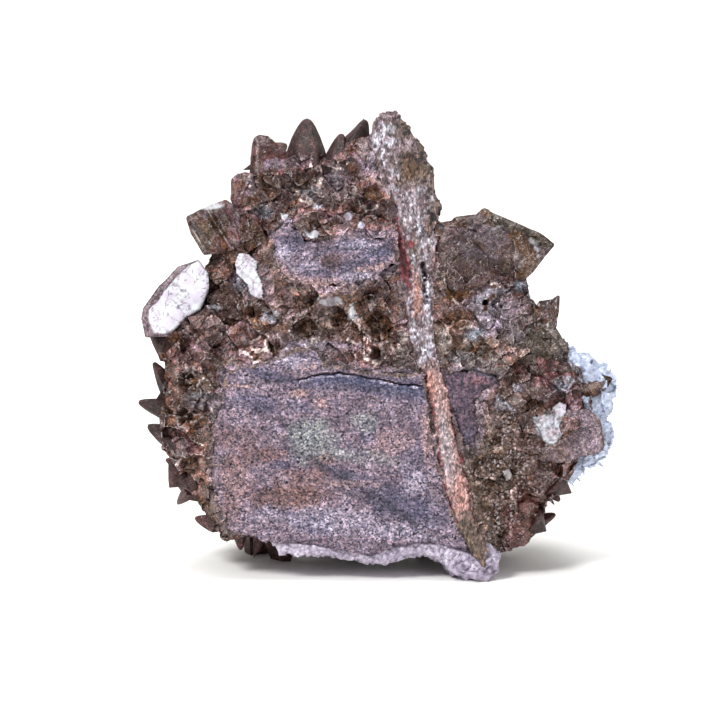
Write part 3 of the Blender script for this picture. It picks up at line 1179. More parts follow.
def calcite_cream(x, h):
    """Pale walls, streaks, the palest sugar grains, and the seams between faces and round pits."""
    sugar, _, grain = sugar_at(x, h)
    streaks = patches(x, h, [
        (8.4, 29.4, 0.9, 2.4, 0.5), (3.3, 29.4, 0.9, 1.8, 0.6), (12.2, 27.6, 3.2, 0.6, 0.6),
        (15.6, 26.6, 1.2, 0.5, 0.6), (11.2, 30.2, 0.5, 1.4, 0.5), (3.0, 27.6, 1.4, 0.6, 0.5)], soft=1.1)
    streaks = streaks * soft_step(rolling(x, h, 0.4, 122), -0.5, 0.3)
    more = patches(x, h, [
        (-11.0, 30.6, 5.0, 3.0, 1.0), (0.0, 30.0, 3.4, 3.4, 1.0), (-22.5, 21.0, 3.0, 9.0, 0.8),
        (-6.0, 48.5, 7.0, 4.0, 0.8)], soft=1.2)
    seams = 0.75 * calcite_faces(x, h)[2] + 0.8 * pits_at(x, h)[1]
    seams = np.clip(seams * (0.65 + 0.7 * rolling(x, h, 0.7, 93)) * (0.45 + 0.7 * more), 0, 1)
    return 0.8 * pale_walls(x, h) + streaks + 0.22 * sugar * (grain > 0.87) + seams


def calcite_pit(x, h):
    """The pits, a dark line, and the darkest sugar grains."""
    sugar, _, grain = sugar_at(x, h)
    dark_line = line(x, h, [(13.5, 34.0), (13.7, 35.1), (14.5, 35.8)], 0.45)
    return 0.7 * sugar * (grain < 0.20) + np.maximum(soft_step(pits_at(x, h)[0], 0.3, 1.3), dark_line)


def calcite_white(x, h):
    """White flakes, and the bright cleavage faces with their cracks."""
    flakes = patches(x, h, [
        (-3.0, 33.7, 0.6, 0.8, 0.7), (-5.9, 35.2, 1.3, 0.45, 0.4), (-11.5, 45.6, 0.35, 0.35, 1.0),
        (-2.0, 44.6, 0.35, 0.4, 1.0), (-3.7, 45.8, 0.4, 0.4, 0.8), (-7.3, 47.0, 0.5, 0.4, 0.8),
        (-20.2, 34.4, 1.0, 0.3, 0.6)], ragged=1.1, soft=0.3)
    bright = 0.9 * np.maximum.reduce([within(x, h, outline) for outline in BRIGHT_FACES.values()])
    bright = bright * (1 - 0.9 * fine_cracks(x, h)) * (0.92 + 0.4 * rolling(x, h, 0.35, 107))
    mottled = soft_step(rolling(x, h, 0.24, 116) - 0.2 * (x - 21.5), -0.2, 0.5)
    return np.maximum(flakes, bright * (1 - 0.08 * (h < 25)) * (1 - 0.7 * (h < 25) * mottled))


paint(calcite, "tone", calcite_tone)
paint(calcite, "cream", calcite_cream)
paint(calcite, "pit", calcite_pit)
paint(calcite, "olive", spots([
    (9.7, 39.0, 2.2, 3.0, 0.7), (15.0, 12.0, 5.6, 9.0, 0.55), (21.0, 30.0, 4.0, 4.0, 0.5),
    (-8.8, 50.0, 1.8, 1.6, 0.6), (-7.0, 33.0, 9.0, 3.0, 0.35), (12.4, 30.6, 5.0, 3.0, 0.5)], soft=1.2))
paint(calcite, "gold", lambda x, h: patches(x, h, [
    (0.7, 30.6, 0.7, 0.5, 0.9), (9.4, 36.8, 1.0, 1.6, 0.5), (-14.6, 27.3, 0.7, 0.6, 0.6),
    (10.4, 32.9, 1.8, 1.2, 0.5), (13.6, 29.2, 1.8, 1.0, 0.35), (-8.6, 31.8, 1.0, 1.2, 0.4),
    (-22.6, 24.6, 1.6, 0.8, 0.5)], soft=1.0) + 0.30 * (chances(x, h) < 0.3) * (1 - sugar_at(x, h)[0])
    + line(x + 0.4 * rolling(x, h, 0.8, 114), h, [(10.6, 35.8), (11.6, 36.9), (12.9, 38.0)], 1.1, 0.9))
paint(calcite, "lilac", lambda x, h: 0.5 * np.maximum.reduce(
    [ragged_edge(x, h, rock, 0.9) for rock in ROCKS[:3]]) + patches(x, h, [
        (-5.2, 50.6, 1.4, 1.7, 0.6), (-11.1, 52.8, 3.6, 1.2, 0.25), (-0.6, 54.4, 1.6, 3.4, 0.7),
        (13.2, 33.4, 4.6, 2.4, 0.7), (-8.0, 29.6, 5.0, 0.7, 0.6), (3.0, 28.0, 3.0, 1.4, 0.4),
        (-15.0, 36.8, 2.0, 3.0, 0.3), (-22.0, 22.7, 2.0, 1.4, 0.5)], soft=1.2))
paint(calcite, "pink", lambda x, h: patches(x, h, [
    (14.2, 20.7, 1.0, 1.1, 0.8), (-6.4, 47.6, 2.6, 1.0, 0.6), (-13.4, 37.0, 1.4, 2.2, 0.5),
    (-9.0, 36.2, 4.4, 0.8, 0.4), (-3.0, 36.0, 3.0, 0.7, 0.3), (0.6, 51.6, 1.2, 2.4, 0.3),
    (-20.5, 32.0, 3.0, 2.0, 0.35), (-24.5, 24.5, 1.4, 4.0, 0.35), (14.4, 23.4, 1.6, 1.4, 0.3)], soft=1.2)
    + 0.06 * (chances(x, h) > 0.72))
paint(calcite, "red", lambda x, h: patches(x, h, [
    (21.3, 26.6, 3.0, 1.2, 0.8), (18.1, 7.2, 2.4, 4.6, 0.7), (-11.0, 52.4, 4.2, 2.2, 0.6),
    (-25.5, 26.0, 1.6, 3.6, 0.5), (-6.4, 53.0, 2.0, 2.0, 0.4), (-18.8, 29.8, 2.0, 1.4, 0.4)], soft=1.2)
    + 0.18 * (abs(chances(x, h) - 0.5) < 0.1))
paint(calcite, "blue", lambda x, h: patches(x, h, [
    (-13.3, 33.2, 1.2, 0.9, 0.6), (-17.1, 37.7, 1.1, 1.4, 0.4), (23.4, 24.8, 1.6, 1.0, 0.6),
    (21.4, 19.3, 1.5, 1.7, 0.6), (-14.4, 46.4, 1.4, 1.0, 0.5), (-8.6, 48.8, 1.4, 0.9, 0.4),
    (12.4, 31.0, 1.3, 0.8, 0.7), (10.4, 27.9, 1.4, 0.8, 0.5), (-22.2, 22.9, 1.8, 1.3, 0.4),
    (8.1, 44.8, 0.6, 0.6, 0.9), (18.0, 37.1, 0.9, 0.7, 0.9), (15.2, 36.4, 2.2, 0.4, 0.5),
    (13.8, 35.1, 1.6, 1.9, 0.35), (17.2, 23.8, 2.4, 2.0, 0.15), (20.4, 36.4, 1.4, 1.6, 0.4)], soft=1.0)
    * (0.7 + 0.6 * rolling(x, h, 0.6, 94)))
paint(calcite, "white", calcite_white)

calcite_brown = mineral(
    "brown_calcite",
    [(0.26, shade("44291b")), (0.38, shade("63402d")), (0.50, shade("684a4a")), (0.62, shade("78606a")),
     (0.78, shade("a78f97"))],
    [("olive", shade("645549")), ("red", shade("5a3334")), ("pink", shade("8e7372")),
     ("lilac", shade("8d8090")), ("gold", shade("744d2c")), ("cream", shade("c9b8b4")),
     ("blue", shade("969cab")), ("pit", shade("563a28"))],
    [(0.0, 0.62), (0.16, 0.86), (0.45, 1.0), (0.76, 1.2), (0.92, 1.6)], grain=0.20, ground_size=1.5,
    roughness=(0.18, 0.45), bump=0.06, bump_size=0.4, cloud=0.2, tones=(0.32, 0.66, 0.95, 1.35, 2.2),
    curls=[(0.75, 3.0, 0.50, 1.65), (0.3, 1.5, 0.72, 1.40)],
    hairs=[(1.3, 2.4, 0.022, 0.55), (0.8, 1.6, 0.02, 0.4)],
    over=[("white", shade("d2ccdd"), shade("e2e8ee"))], ridge=(0.6, 1.35), glint=0.55, shine=0.28)
wear(calcite, calcite_brown)
settle(calcite, "calcite_crystals", angle=26)

# %% [markdown]
# ## Larger crystals in the face
# Some crystals stand out whole: a tilted one at the left with a bright cleavage face, a striated prism
# above it, a big broken one at the upper right and a few blocks. Each is a relief with its own outline;
# its front is a plane or a dome, and its edges fall away like cut faces.

# %% A crystal in the face
CALCITE_MASKS = ("olive", "red", "pink", "lilac", "gold", "cream", "blue", "pit", "white")


def crystal(name, outline, front, sides, lift, bevel, rough, grain, salt, masks, striae=0.0,
            striae_turn=0.0, step=0.15, bright=0.10):
    """A crystal seen from its broken side. Its masks have a name and a function of the place each."""
    middle_x = middle_of(outline)[0]

    def growth_lines(x, h):
        across = x * math.sin(striae_turn) - h * math.cos(striae_turn)
        length = x * math.cos(striae_turn) + h * math.sin(striae_turn)
        return rolling(across, length / 9, 0.32, salt + 1) + rolling(across, length / 6, 0.75, salt + 2)

    def depth_at(x, h):
        rim = distance_to(x, h, outline, closed=True)
        detail = broken_faces(x, h, grain, salt)[0]
        dome = lift * (1 - soft_step(rim, 0.0, bevel * 2.2))
        edge = bevel * 0.7 * (1 - soft_step(rim, 0.0, bevel))
        return front + dome + edge + rough * detail + striae * growth_lines(x, h) + 0.03 * (x - middle_x)

    def tone_at(x, h):
        faces = broken_faces(x, h, grain, salt)[1]
        return bright + 0.55 * faces + 1.6 * striae * growth_lines(x, h)

    piece = relief(name, outline, step, depth_at, sides, ragged=0.0, salt=salt + 7, rough=0.10, crisp=True)
    paint(piece, "tone", tone_at)
    for mask_name in CALCITE_MASKS:
        paint(piece, mask_name, masks.get(mask_name, even(0)))
    wear(piece, calcite_brown)
    settle(piece, "calcite_crystals", angle=24)


# %% The tilted crystal with the bright cleavage face
LEFT_CRYSTAL = [
    (-22.2, 40.3), (-21.0, 38.6), (-21.0, 36.6), (-22.0, 34.0), (-23.6, 33.2), (-25.2, 31.6),
    (-26.0, 30.8), (-28.9, 30.6), (-29.4, 33.0), (-29.2, 34.2), (-27.6, 36.5), (-24.8, 39.5),
]
LEFT_BRIGHT = [
    (-23.7, 39.5), (-22.2, 40.2), (-20.9, 38.6), (-20.9, 36.8), (-21.5, 35.3), (-22.0, 34.0),
    (-23.6, 33.3), (-25.1, 31.8), (-26.0, 31.0), (-27.8, 31.1), (-28.6, 33.0), (-28.5, 34.1),
    (-27.2, 35.4), (-26.4, 36.5), (-24.5, 38.8),
]


def left_bright(x, h):
    edge = distance_to(x, h, LEFT_BRIGHT, closed=True) + 0.12 * rolling(x, h, 0.7, 100)
    inside = within(x, h, LEFT_BRIGHT) * soft_step(edge, 0.02, 0.14)
    specks = (rolling(x, h, 0.45, 109) > 0.62) * 0.6
    return inside * (1 - 0.9 * fine_cracks(x, h)) * (0.86 + 0.16 * rolling(x, h, 0.9, 101)) * (1 - specks)


crystal("calcite_left_crystal", LEFT_CRYSTAL, 0.25, [(2.8, 0.97), (6.8, 0.5)], lift=0.1, bevel=0.35,
        rough=0.05, grain=2.2, salt=130, step=0.12, bright=-0.14,
        masks={"white": left_bright, "lilac": even(0.4)})

# %% The shoulder below the domed crystal
SHOULDER = [
    (-18.2, 50.6), (-17.6, 51.1), (-16.5, 51.4), (-15.5, 51.2), (-14.6, 50.5), (-13.8, 49.2),
    (-14.2, 47.4), (-16.2, 46.3), (-17.8, 46.6), (-18.4, 48.0),
]
crystal("calcite_shoulder", SHOULDER, 0.9, [(3.2, 0.96), (6.4, 0.7)], lift=0.7, bevel=1.0, rough=0.2,
        grain=1.8, salt=155, bright=-0.05, striae=0.10, striae_turn=math.radians(75),
        masks={"lilac": spots([(-15.4, 49.6, 1.4, 1.6, 0.4)]),
               "cream": lambda x, h: 0.5 * (rolling(x, h, 0.4, 112) > 0.5)})

# %% The striated prism and the crystals round it
PRISM = [
    (-23.9, 45.7), (-21.4, 46.9), (-18.9, 47.9), (-16.5, 46.3), (-16.7, 41.5), (-21.6, 40.9),
    (-23.3, 43.6),
]
crystal("calcite_prism", PRISM, 0.2, [(3.0, 0.97), (6.8, 0.5)], lift=0.5, bevel=0.7, rough=0.12,
        grain=2.6, salt=140, striae=0.32, striae_turn=math.radians(-58), bright=-0.05,
        masks={"olive": spots([(-21.5, 43.2, 1.6, 2.0, 0.6)]),
               "pit": spots([(-19.8, 44.4, 0.55, 1.8, 1.0)], turn_degrees=30, ragged=0.7),
               "gold": spots([(-21.8, 44.8, 0.9, 0.6, 0.3)], ragged=0.9),
               "white": spots([(-20.6, 47.0, 1.6, 0.35, 0.5)])})

BY_PRISM = [(-18.6, 46.4), (-15.0, 46.9), (-13.6, 45.2), (-14.4, 42.6), (-17.4, 41.8), (-19.2, 43.6)]
crystal("calcite_by_prism", BY_PRISM, 0.6, [(3.0, 0.95), (5.0, 0.7)], lift=0.7, bevel=1.2, rough=0.3,
        grain=1.6, salt=150, masks={"red": even(0.35)})

DOMED = [
    (-16.1, 49.8), (-15.7, 54.8), (-15.4, 55.7), (-14.7, 56.1), (-14.0, 56.0), (-13.1, 55.5),
    (-12.4, 54.8), (-11.3, 54.0), (-10.6, 52.4), (-11.0, 49.9),
]
crystal("calcite_domed", DOMED, 0.7, [(3.2, 0.96), (7.2, 0.7)], lift=0.9, bevel=1.3, rough=0.10,
        grain=2.4, salt=160, bright=-0.12,
        masks={"red": lambda x, h: 0.5 - 0.3 * (h < 52.4),
               "cream": lambda x, h: 0.5 * line(x, h, [(-15.0, 55.6), (-15.0, 50.6)], 0.3),
               "lilac": spots([(-12.2, 52.0, 2.2, 1.0, 0.5)])})

# %% The big broken crystal at the upper right
BIG_CRYSTAL = [
    (7.6, 42.0), (8.4, 44.4), (9.8, 45.7), (12.4, 46.0), (13.3, 46.8), (15.0, 46.0), (18.0, 44.7),
    (20.9, 43.3), (22.3, 42.2), (21.1, 40.8), (19.6, 38.8), (18.2, 37.6), (15.4, 37.6), (12.4, 36.6),
    (9.8, 36.2), (7.6, 37.6),
]
crystal("calcite_big_crystal", BIG_CRYSTAL, 0.1, [(3.2, 0.97), (8.2, 0.45)], lift=0.3, bevel=0.45,
        rough=0.32, grain=3.4, salt=170, bright=-0.34, striae=0.05, striae_turn=math.radians(-30),
        masks={"olive": lambda x, h: line(x, h, [(14.6, 45.8), (18.0, 44.0), (21.6, 42.6)], 1.9, 0.6),
               "lilac": spots([(13.0, 42.6, 3.6, 2.6, 0.4), (14.0, 43.6, 2.0, 1.0, 0.4)], soft=1.2),
               "gold": lambda x, h: np.maximum(0.95 * line(
                   x + 0.2 * rolling(x, h, 0.9, 110), h,
                   [(17.3, 43.1), (18.8, 41.5), (19.4, 40.2), (18.9, 39.1), (17.8, 38.6)], 1.5, 0.4),
                   patch(x, h, (13.9, 46.1), (0.8, 0.5))),
               "pink": spots([(17.3, 41.0, 0.8, 1.1, 0.9), (16.5, 42.8, 0.6, 0.6, 0.9),
                              (8.6, 42.0, 0.9, 2.4, 0.5)], soft=0.7),
               "cream": spots([(17.4, 40.8, 0.5, 0.5, 0.8), (18.0, 39.6, 0.3, 0.7, 0.6)], soft=0.8),
               "white": lambda x, h: patches(
                   x, h, [(19.9, 41.6, 0.35, 1.3, 0.6), (14.6, 44.2, 1.0, 0.2, 0.3)],
                   turn_degrees=20, ragged=1.0, soft=1.0) * soft_step(rolling(x, h, 0.3, 102), -0.4, 0.4),
               "pit": lambda x, h: patches(x, h, [
                   (14.2, 44.9, 1.2, 0.4, 1.0), (15.9, 39.3, 1.2, 0.7, 0.9), (13.4, 39.8, 1.2, 0.4, 0.6),
                   (10.6, 43.0, 1.4, 0.3, 0.5), (12.6, 42.2, 1.2, 0.6, 0.6), (10.2, 44.9, 1.6, 0.4, 0.8)],
                   turn_degrees=-15, ragged=0.8, soft=0.9)
               + 0.9 * line(x, h, [(18.2, 43.2), (19.9, 41.2), (20.1, 40.0)], 0.3)})

# %% Blocks along the right side
UPRIGHT_BLOCK = [
    (19.4, 33.6), (20.3, 35.1), (21.6, 35.2), (22.9, 36.0), (22.9, 34.2), (22.5, 31.8), (20.5, 30.8),
]
crystal("calcite_upright_block", UPRIGHT_BLOCK, 0.9, [(3.2, 0.96), (6.2, 0.75)], lift=0.5, bevel=0.6,
        rough=0.3, grain=1.1, salt=180, bright=-0.16,
        masks={"white": lambda x, h: 0.7 * (rolling(x, h, 0.35, 103) > 0.55),
               "pit": lambda x, h: 0.4 + 0.5 * patch(x, h, (19.9, 34.6), (0.8, 1.2))})

ROUNDED = [
    (15.1, 30.9), (16.0, 33.0), (17.3, 34.2), (20.0, 34.4), (22.5, 31.9), (24.2, 29.1), (23.6, 26.8),
    (19.5, 26.1), (16.1, 27.4),
]
ROUNDED_RIM = [(17.8, 31.6), (18.6, 33.0), (20.4, 32.7), (22.1, 31.5), (23.7, 29.3)]
crystal("calcite_rounded", ROUNDED, 0.0, [(3.2, 0.97), (7.7, 0.7)], lift=1.0, bevel=1.5, rough=0.6,
        grain=1.1, salt=190, bright=-0.40,
        masks={"olive": spots([(18.9, 29.6, 5.0, 4.2, 0.8)]), "pit": spots([(17.0, 28.8, 1.8, 1.6, 0.3)]),
               "lilac": spots([(17.4, 31.8, 1.6, 2.2, 0.5)], soft=1.2),
               "cream": lambda x, h: line(x + 0.2 * rolling(x, h, 0.6, 121), h, ROUNDED_RIM, 0.75)
               * soft_step(rolling(x, h, 0.4, 104), -0.6, 0.2)})

DARK_RED = [(18.4, 27.6), (21.0, 28.2), (24.2, 27.4), (24.6, 26.0), (22.6, 25.2), (18.8, 25.6)]
crystal("calcite_dark_red", DARK_RED, 0.3, [(3.0, 0.95), (6.0, 0.8)], lift=0.7, bevel=0.8, rough=0.35,
        grain=1.6, salt=200, bright=-0.3, masks={"red": even(0.9), "pit": lambda x, h: 0.5 * (h < 26.6)})

BLOCK = [(13.9, 21.3), (14.5, 24.5), (17.0, 26.1), (19.9, 24.9), (19.8, 21.5), (17.2, 20.0)]
crystal("calcite_block", BLOCK, 0.2, [(3.0, 0.96), (5.7, 0.8)], lift=0.8, bevel=1.2, rough=0.4,
        grain=1.4, salt=210,
        masks={"blue": even(0.35), "olive": spots([(15.2, 22.8, 1.6, 1.6, 0.4)]),
               "pink": lambda x, h: 0.6 * line(x, h, [(15.6, 25.2), (17.6, 24.4), (18.4, 22.4)], 0.6, 0.9)})

FLAT_FACE = [
    (22.7, 19.6), (23.9, 21.7), (26.6, 21.6), (27.9, 20.3), (28.5, 17.2), (28.0, 16.3), (22.8, 14.9),
    (20.8, 15.4), (20.4, 16.8), (22.0, 17.3), (23.2, 18.0),
]
crystal("calcite_flat_face", FLAT_FACE, 0.35, [(3.0, 0.97), (6.7, 0.75)], lift=0.1, bevel=0.35,
        rough=0.06, grain=1.0, salt=220, bright=0.14,
        masks={"lilac": lambda x, h: 0.2 + 0.25 * soft_step(x, 23.0, 26.0), "olive": even(0.2),
               "pit": lambda x, h: 0.9 * line(x, h, [(27.0, 21.2), (28.0, 19.6), (28.2, 17.4)], 0.25)})

IN_GYPSUM = [
    (25.6, 24.0), (26.4, 25.4), (28.2, 26.0), (29.7, 25.6), (29.0, 24.4), (27.8, 23.3), (26.2, 22.8),
]
crystal("calcite_in_gypsum", IN_GYPSUM, 1.3, [(2.6, 0.95), (5.2, 0.7)], lift=0.6, bevel=0.8, rough=0.4,
        grain=1.2, salt=225, bright=-0.02,
        masks={"pit": lambda x, h: 0.9 * (h > 25.2 + 0.3 * rolling(x, h, 0.7, 111)),
               "gold": even(0.4), "pink": spots([(28.4, 24.6, 1.4, 0.6, 0.6)])})

LOWER_RED = [(15.2, 4.2), (15.6, 8.4), (18.0, 11.0), (20.4, 10.4), (20.2, 6.4), (18.6, 4.4)]
crystal("calcite_lower_red", LOWER_RED, 0.9, [(3.0, 0.95), (5.4, 0.8)], lift=0.8, bevel=1.4, rough=0.6,
        grain=1.6, salt=230,
        masks={"red": even(0.8), "pit": lambda x, h: 0.3 * (rolling(x, h, 1.2, 105) > 0)})

# %% [markdown]
# ## Dogtooth crystals
# A dogtooth has six sides that swell a little, meet in a blunt tip and carry fine growth steps. One is
# built from a six sided plate that is extruded upwards in rings, every other corner a little further out.
# Copies of it stand along the rim, each stretched to its own foot and tip.

# %% One dogtooth
INNER_CORNERS = 0.86
TOOTH_BEVEL = 0.035


def dogtooth(name, rings, salt):
    """A crystal one unit high and one unit in radius, standing on its foot."""
    select_none()
    bpy.ops.mesh.primitive_circle_add(vertices=6, radius=1, fill_type="NGON")
    piece = bpy.context.object
    piece.name = name
    edit_all()
    past_height, past_width = 0.0, 1.0
    for height, width in rings:
        bpy.ops.mesh.extrude_region_move(TRANSFORM_OT_translate={"value": (0, 0, height - past_height)})
        narrower = width / past_width
        bpy.ops.transform.resize(value=(narrower, narrower, 1), center_override=(0, 0, height))
        past_height, past_width = height, width
    face_outwards()
    choose(piece, [k % 2 == 0 for k in range(len(piece.data.vertices))])
    bpy.ops.object.mode_set(mode="EDIT")
    bpy.ops.transform.resize(value=(INNER_CORNERS, INNER_CORNERS, 1), center_override=(0, 0, 0))
    bpy.ops.mesh.select_all(action="SELECT")
    bpy.ops.mesh.bevel(offset=TOOTH_BEVEL, segments=1, affect="EDGES")
    bpy.ops.mesh.subdivide(number_cuts=1)
    bpy.ops.object.mode_set(mode="OBJECT")
    places = places_of(piece)
    round_it = np.arctan2(places[:, 1], places[:, 0])
    steps = 0.02 * rolling(round_it * 1.4, places[:, 2], 0.10, salt)
    steps += 0.03 * rolling(round_it, places[:, 2], 0.4, salt + 1)
    places[:, :2] *= (1 + steps * (places[:, 2] < 0.95))[:, None]
    put(piece, places)
    return piece


FLAME = [(0.25, 0.93), (0.50, 0.76), (0.70, 0.57), (0.86, 0.39), (0.96, 0.24), (1.0, 0.13)]
SPEAR = [(0.30, 0.84), (0.60, 0.52), (0.85, 0.22), (0.97, 0.08), (1.0, 0.03)]
tooth_models = {"flame": dogtooth("tooth_flame", FLAME, 240), "spear": dogtooth("tooth_spear", SPEAR, 250)}

# %% Teeth along the rim
RIM_TEETH = [
    # foot, tip, radius, kind
    ((-5.2, 4.6, 51.0), (-4.4, 4.6, 56.4), 2.2, "flame"),
    ((-8.8, 5.0, 50.6), (-8.8, 4.8, 58.3), 3.5, "flame"),
    ((-4.4, 4.6, 50.4), (-1.4, 5.0, 58.2), 2.6, "flame"),
    ((-13.2, 5.0, 49.4), (-14.0, 5.0, 56.2), 2.3, "flame"),
    ((-24.4, 4.6, 21.0), (-30.1, 4.6, 22.5), 2.0, "flame"),
    ((-25.6, 5.2, 22.8), (-28.2, 4.6, 27.5), 1.6, "flame"),
    ((-25.0, 7.5, 17.6), (-29.2, 7.5, 19.4), 1.9, "flame"),
    ((-23.0, 7.5, 11.8), (-26.6, 8.5, 13.6), 2.4, "spear"),
    ((-26.2, 5.0, 29.4), (-28.9, 4.6, 31.4), 1.9, "spear"),
    ((-19.6, 5.6, 8.2), (-21.8, 6.5, 6.4), 2.1, "spear"),
    ((22.0, 3.0, 12.6), (24.6, 4.0, 11.0), 2.2, "spear"),
    ((19.4, 3.4, 7.6), (21.4, 4.0, 6.2), 2.3, "spear"),
    ((-24.6, 3.4, 17.0), (-27.6, 3.6, 17.8), 1.9, "spear"),
    ((-18.4, 3.6, 40.4), (-21.2, 3.4, 41.6), 1.6, "spear"),
    ((-22.4, 3.6, 12.4), (-24.8, 4.0, 12.0), 1.8, "spear"),
]


def grown_copy(model, name, foot, tip, radius, turn):
    """A copy with its own mesh, stretched from foot to tip."""
    axis = Vector(tip) - Vector(foot)
    made = bpy.data.objects.new(name, model.data.copy())
    bpy.context.scene.collection.objects.link(made)
    upright = axis.to_track_quat("Z", "Y").to_matrix().to_4x4()
    stretch = Matrix.Diagonal((radius, radius, axis.length, 1))
    made.data.transform(Matrix.Translation(foot) @ upright @ Matrix.Rotation(turn, 4, "Z") @ stretch)
    return made


def join_all(pieces, name):
    """Join pieces into the first one."""
    select_none()
    for piece in pieces:
        piece.select_set(True)
    bpy.context.view_layer.objects.active = pieces[0]
    if len(pieces) > 1:
        bpy.ops.object.join()
    pieces[0].name = name
    return pieces[0]


chance = random.Random(7)
teeth = [grown_copy(tooth_models[kind], "tooth", foot, tip, radius, chance.uniform(0, math.pi))
         for foot, tip, radius, kind in RIM_TEETH]
rim_teeth = join_all(teeth, "calcite_rim_teeth")
paint(rim_teeth, "tone", lambda x, h: 0.12 + 0.25 * crumpled(x, h, 1.6, 260))
paint(rim_teeth, "ridge", even(0.5))

calcite_clean = mineral(
    "dogtooth_calcite",
    [(0.28, shade("2c1714")), (0.50, shade("482a29")), (0.72, shade("6a4744"))],
    (), [(0.0, 0.45), (0.14, 0.80), (0.50, 1.0), (0.78, 1.3), (0.93, 2.2)], grain=0.2, ground_size=1.6,
    roughness=(0.42, 0.72), bump=0.10, bump_size=0.5, cloud=0.5, tones=(0.45, 0.95, 1.7),
    curls=[(1.0, 2.0, 0.6, 1.5)], hairs=[(1.2, 1.6, 0.015, 0.35)],
    layers=[((1, 1, 0.22), 0.45, 0.65, 1.40)], shine=0.35)
wear(rim_teeth, calcite_clean)
settle(rim_teeth, "calcite_crystals", angle=30)
print("rim teeth:", len(RIM_TEETH), "with", len(rim_teeth.data.polygons), "faces")

# %% [markdown]
# ## The hidden crystal side
# The solids already carry the crystals of the far side. Their front, which the reliefs now show, is cut
# away, and what stays is divided finely and given growth steps, so that no face is quite flat. Younger
# crystals, which are copies of the two dogteeth, then grow between them.


# %% Refine a solid
def copy_of_node(node_name, name):
    """The workshop solid's mesh, merged and square on to the face."""
    made = bpy.data.objects.new(name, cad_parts[node_name].data.copy())
    bpy.context.scene.collection.objects.link(made)
    made.data.transform(FRAME_TO_FACE)
    made.data.materials.clear()
    work_on(made)
    edit_all()
    bpy.ops.mesh.remove_doubles(threshold=0.002)
    bpy.ops.object.mode_set(mode="OBJECT")
    return made


def into_triangles():
    """Cut every face into triangles."""
    bpy.ops.mesh.select_all(action="SELECT")
    bpy.ops.mesh.quads_convert_to_tris(quad_method="BEAUTY", ngon_method="BEAUTY")


def divide_long_edges(piece, limits):
    """Cut every edge that is longer than each limit in turn."""
    for limit in limits:
        work_on(piece)
        bpy.ops.object.mode_set(mode="EDIT")
        bpy.ops.mesh.select_mode(type="EDGE")
        into_triangles()
        bpy.ops.mesh.select_all(action="DESELECT")
        bpy.ops.object.mode_set(mode="OBJECT")
        places = places_of(piece)
        ends = np.zeros(len(piece.data.edges) * 2, int)
        piece.data.edges.foreach_get("vertices", ends)
        ends = ends.reshape(-1, 2)
        lengths = np.linalg.norm(places[ends[:, 0]] - places[ends[:, 1]], axis=1)
        piece.data.edges.foreach_set("select", lengths > limit)
        bpy.ops.object.mode_set(mode="EDIT")
        bpy.ops.mesh.subdivide(number_cuts=1)
        into_triangles()
        bpy.ops.object.mode_set(mode="OBJECT")


def normals_of(piece):
    flat = np.zeros(len(piece.data.vertices) * 3)
    piece.data.vertices.foreach_get("normal", flat)
    return flat.reshape(-1, 3)


def roughen(piece, size, amount, salt):
    """Move the surface in and out by soft noise that runs through all three directions."""
    places = places_of(piece)
    x, y, z = places.T
    wave = rolling(x + 0.3 * y, z, size, salt) + rolling(y - 0.3 * z, x, size, salt + 1)
    wave += rolling(z, y, size, salt + 2)
    put(piece, places + normals_of(piece) * (amount * wave / 2)[:, None])


# %% The far side
CUT_DEPTH = 4.2
BLOCK_WIDTH = 90
BLOCK_DEPTH = 20
far_side = copy_of_node("calcite_crystals", "calcite_far_side")
select_none()
bpy.ops.mesh.primitive_cube_add(
    size=1, location=(0, CUT_DEPTH - BLOCK_DEPTH / 2, 30), scale=(BLOCK_WIDTH, BLOCK_DEPTH, BLOCK_WIDTH))
front_block = bpy.context.object
work_on(far_side)
cutter = far_side.modifiers.new("cut_front", "BOOLEAN")
cutter.operation = "DIFFERENCE"
cutter.object = front_block
cutter.solver = "EXACT"
bpy.ops.object.modifier_apply(modifier=cutter.name)
bpy.data.objects.remove(front_block)
divide_long_edges(far_side, (4.0, 2.2, 1.2))
roughen(far_side, 0.9, 0.10, 270)
paint(far_side, "tone", lambda x, h: 0.35 + 0.25 * crumpled(x, h, 2.0, 280))

# %% Younger crystals between them
YOUNG_COUNT = 330
YOUNG_LENGTHS = (2.2, 5.2)
YOUNG_WIDTHS = (0.26, 0.36)
YOUNG_SPREAD = 0.25
YOUNG_GROUPS = 3
BURIED_SHARE = 0.45
box_low, box_high = Vector(cad_box[0]) / MM, Vector(cad_box[1]) / MM
places, normals = places_of(far_side), normals_of(far_side)
grown = [far_side]
while len(grown) <= YOUNG_COUNT:
    k = chance.randrange(len(places))
    astray = Vector([chance.gauss(0, YOUNG_SPREAD) for _ in range(3)])
    way = Vector(normals[k]) + astray + Vector((0, 0.25, 0))
    length = chance.uniform(*YOUNG_LENGTHS)
    foot = Vector(places[k]) - way.normalized() * length * BURIED_SHARE
    tip = foot + way.normalized() * length
    stands = FACE_TO_FRAME @ tip / MM
    if places[k][1] < CUT_DEPTH + 1.5 or stands.z < 1.0 or tip.y < CUT_DEPTH:
        continue
    if any(not box_low[axis] < stands[axis] < box_high[axis] for axis in range(3)):
        continue
    kind = chance.choice(("flame", "spear", "flame"))
    radius = length * chance.uniform(*YOUNG_WIDTHS)
    young = grown_copy(tooth_models[kind], "young", foot, tip, radius, chance.uniform(0, math.pi))
    paint(young, "tone", even(chance.uniform(0.2, 0.8)))
    grown.append(young)
far_pieces = [far_side]
for k in range(YOUNG_GROUPS):
    far_pieces.append(join_all(grown[1 + k::YOUNG_GROUPS], f"calcite_young_{k + 1}"))
for piece in far_pieces:
    paint(piece, "ridge", even(0.5))
    wear(piece, calcite_clean)
    settle(piece, "calcite_crystals", angle=22)
    print(piece.name, "has", len(piece.data.polygons), "faces")

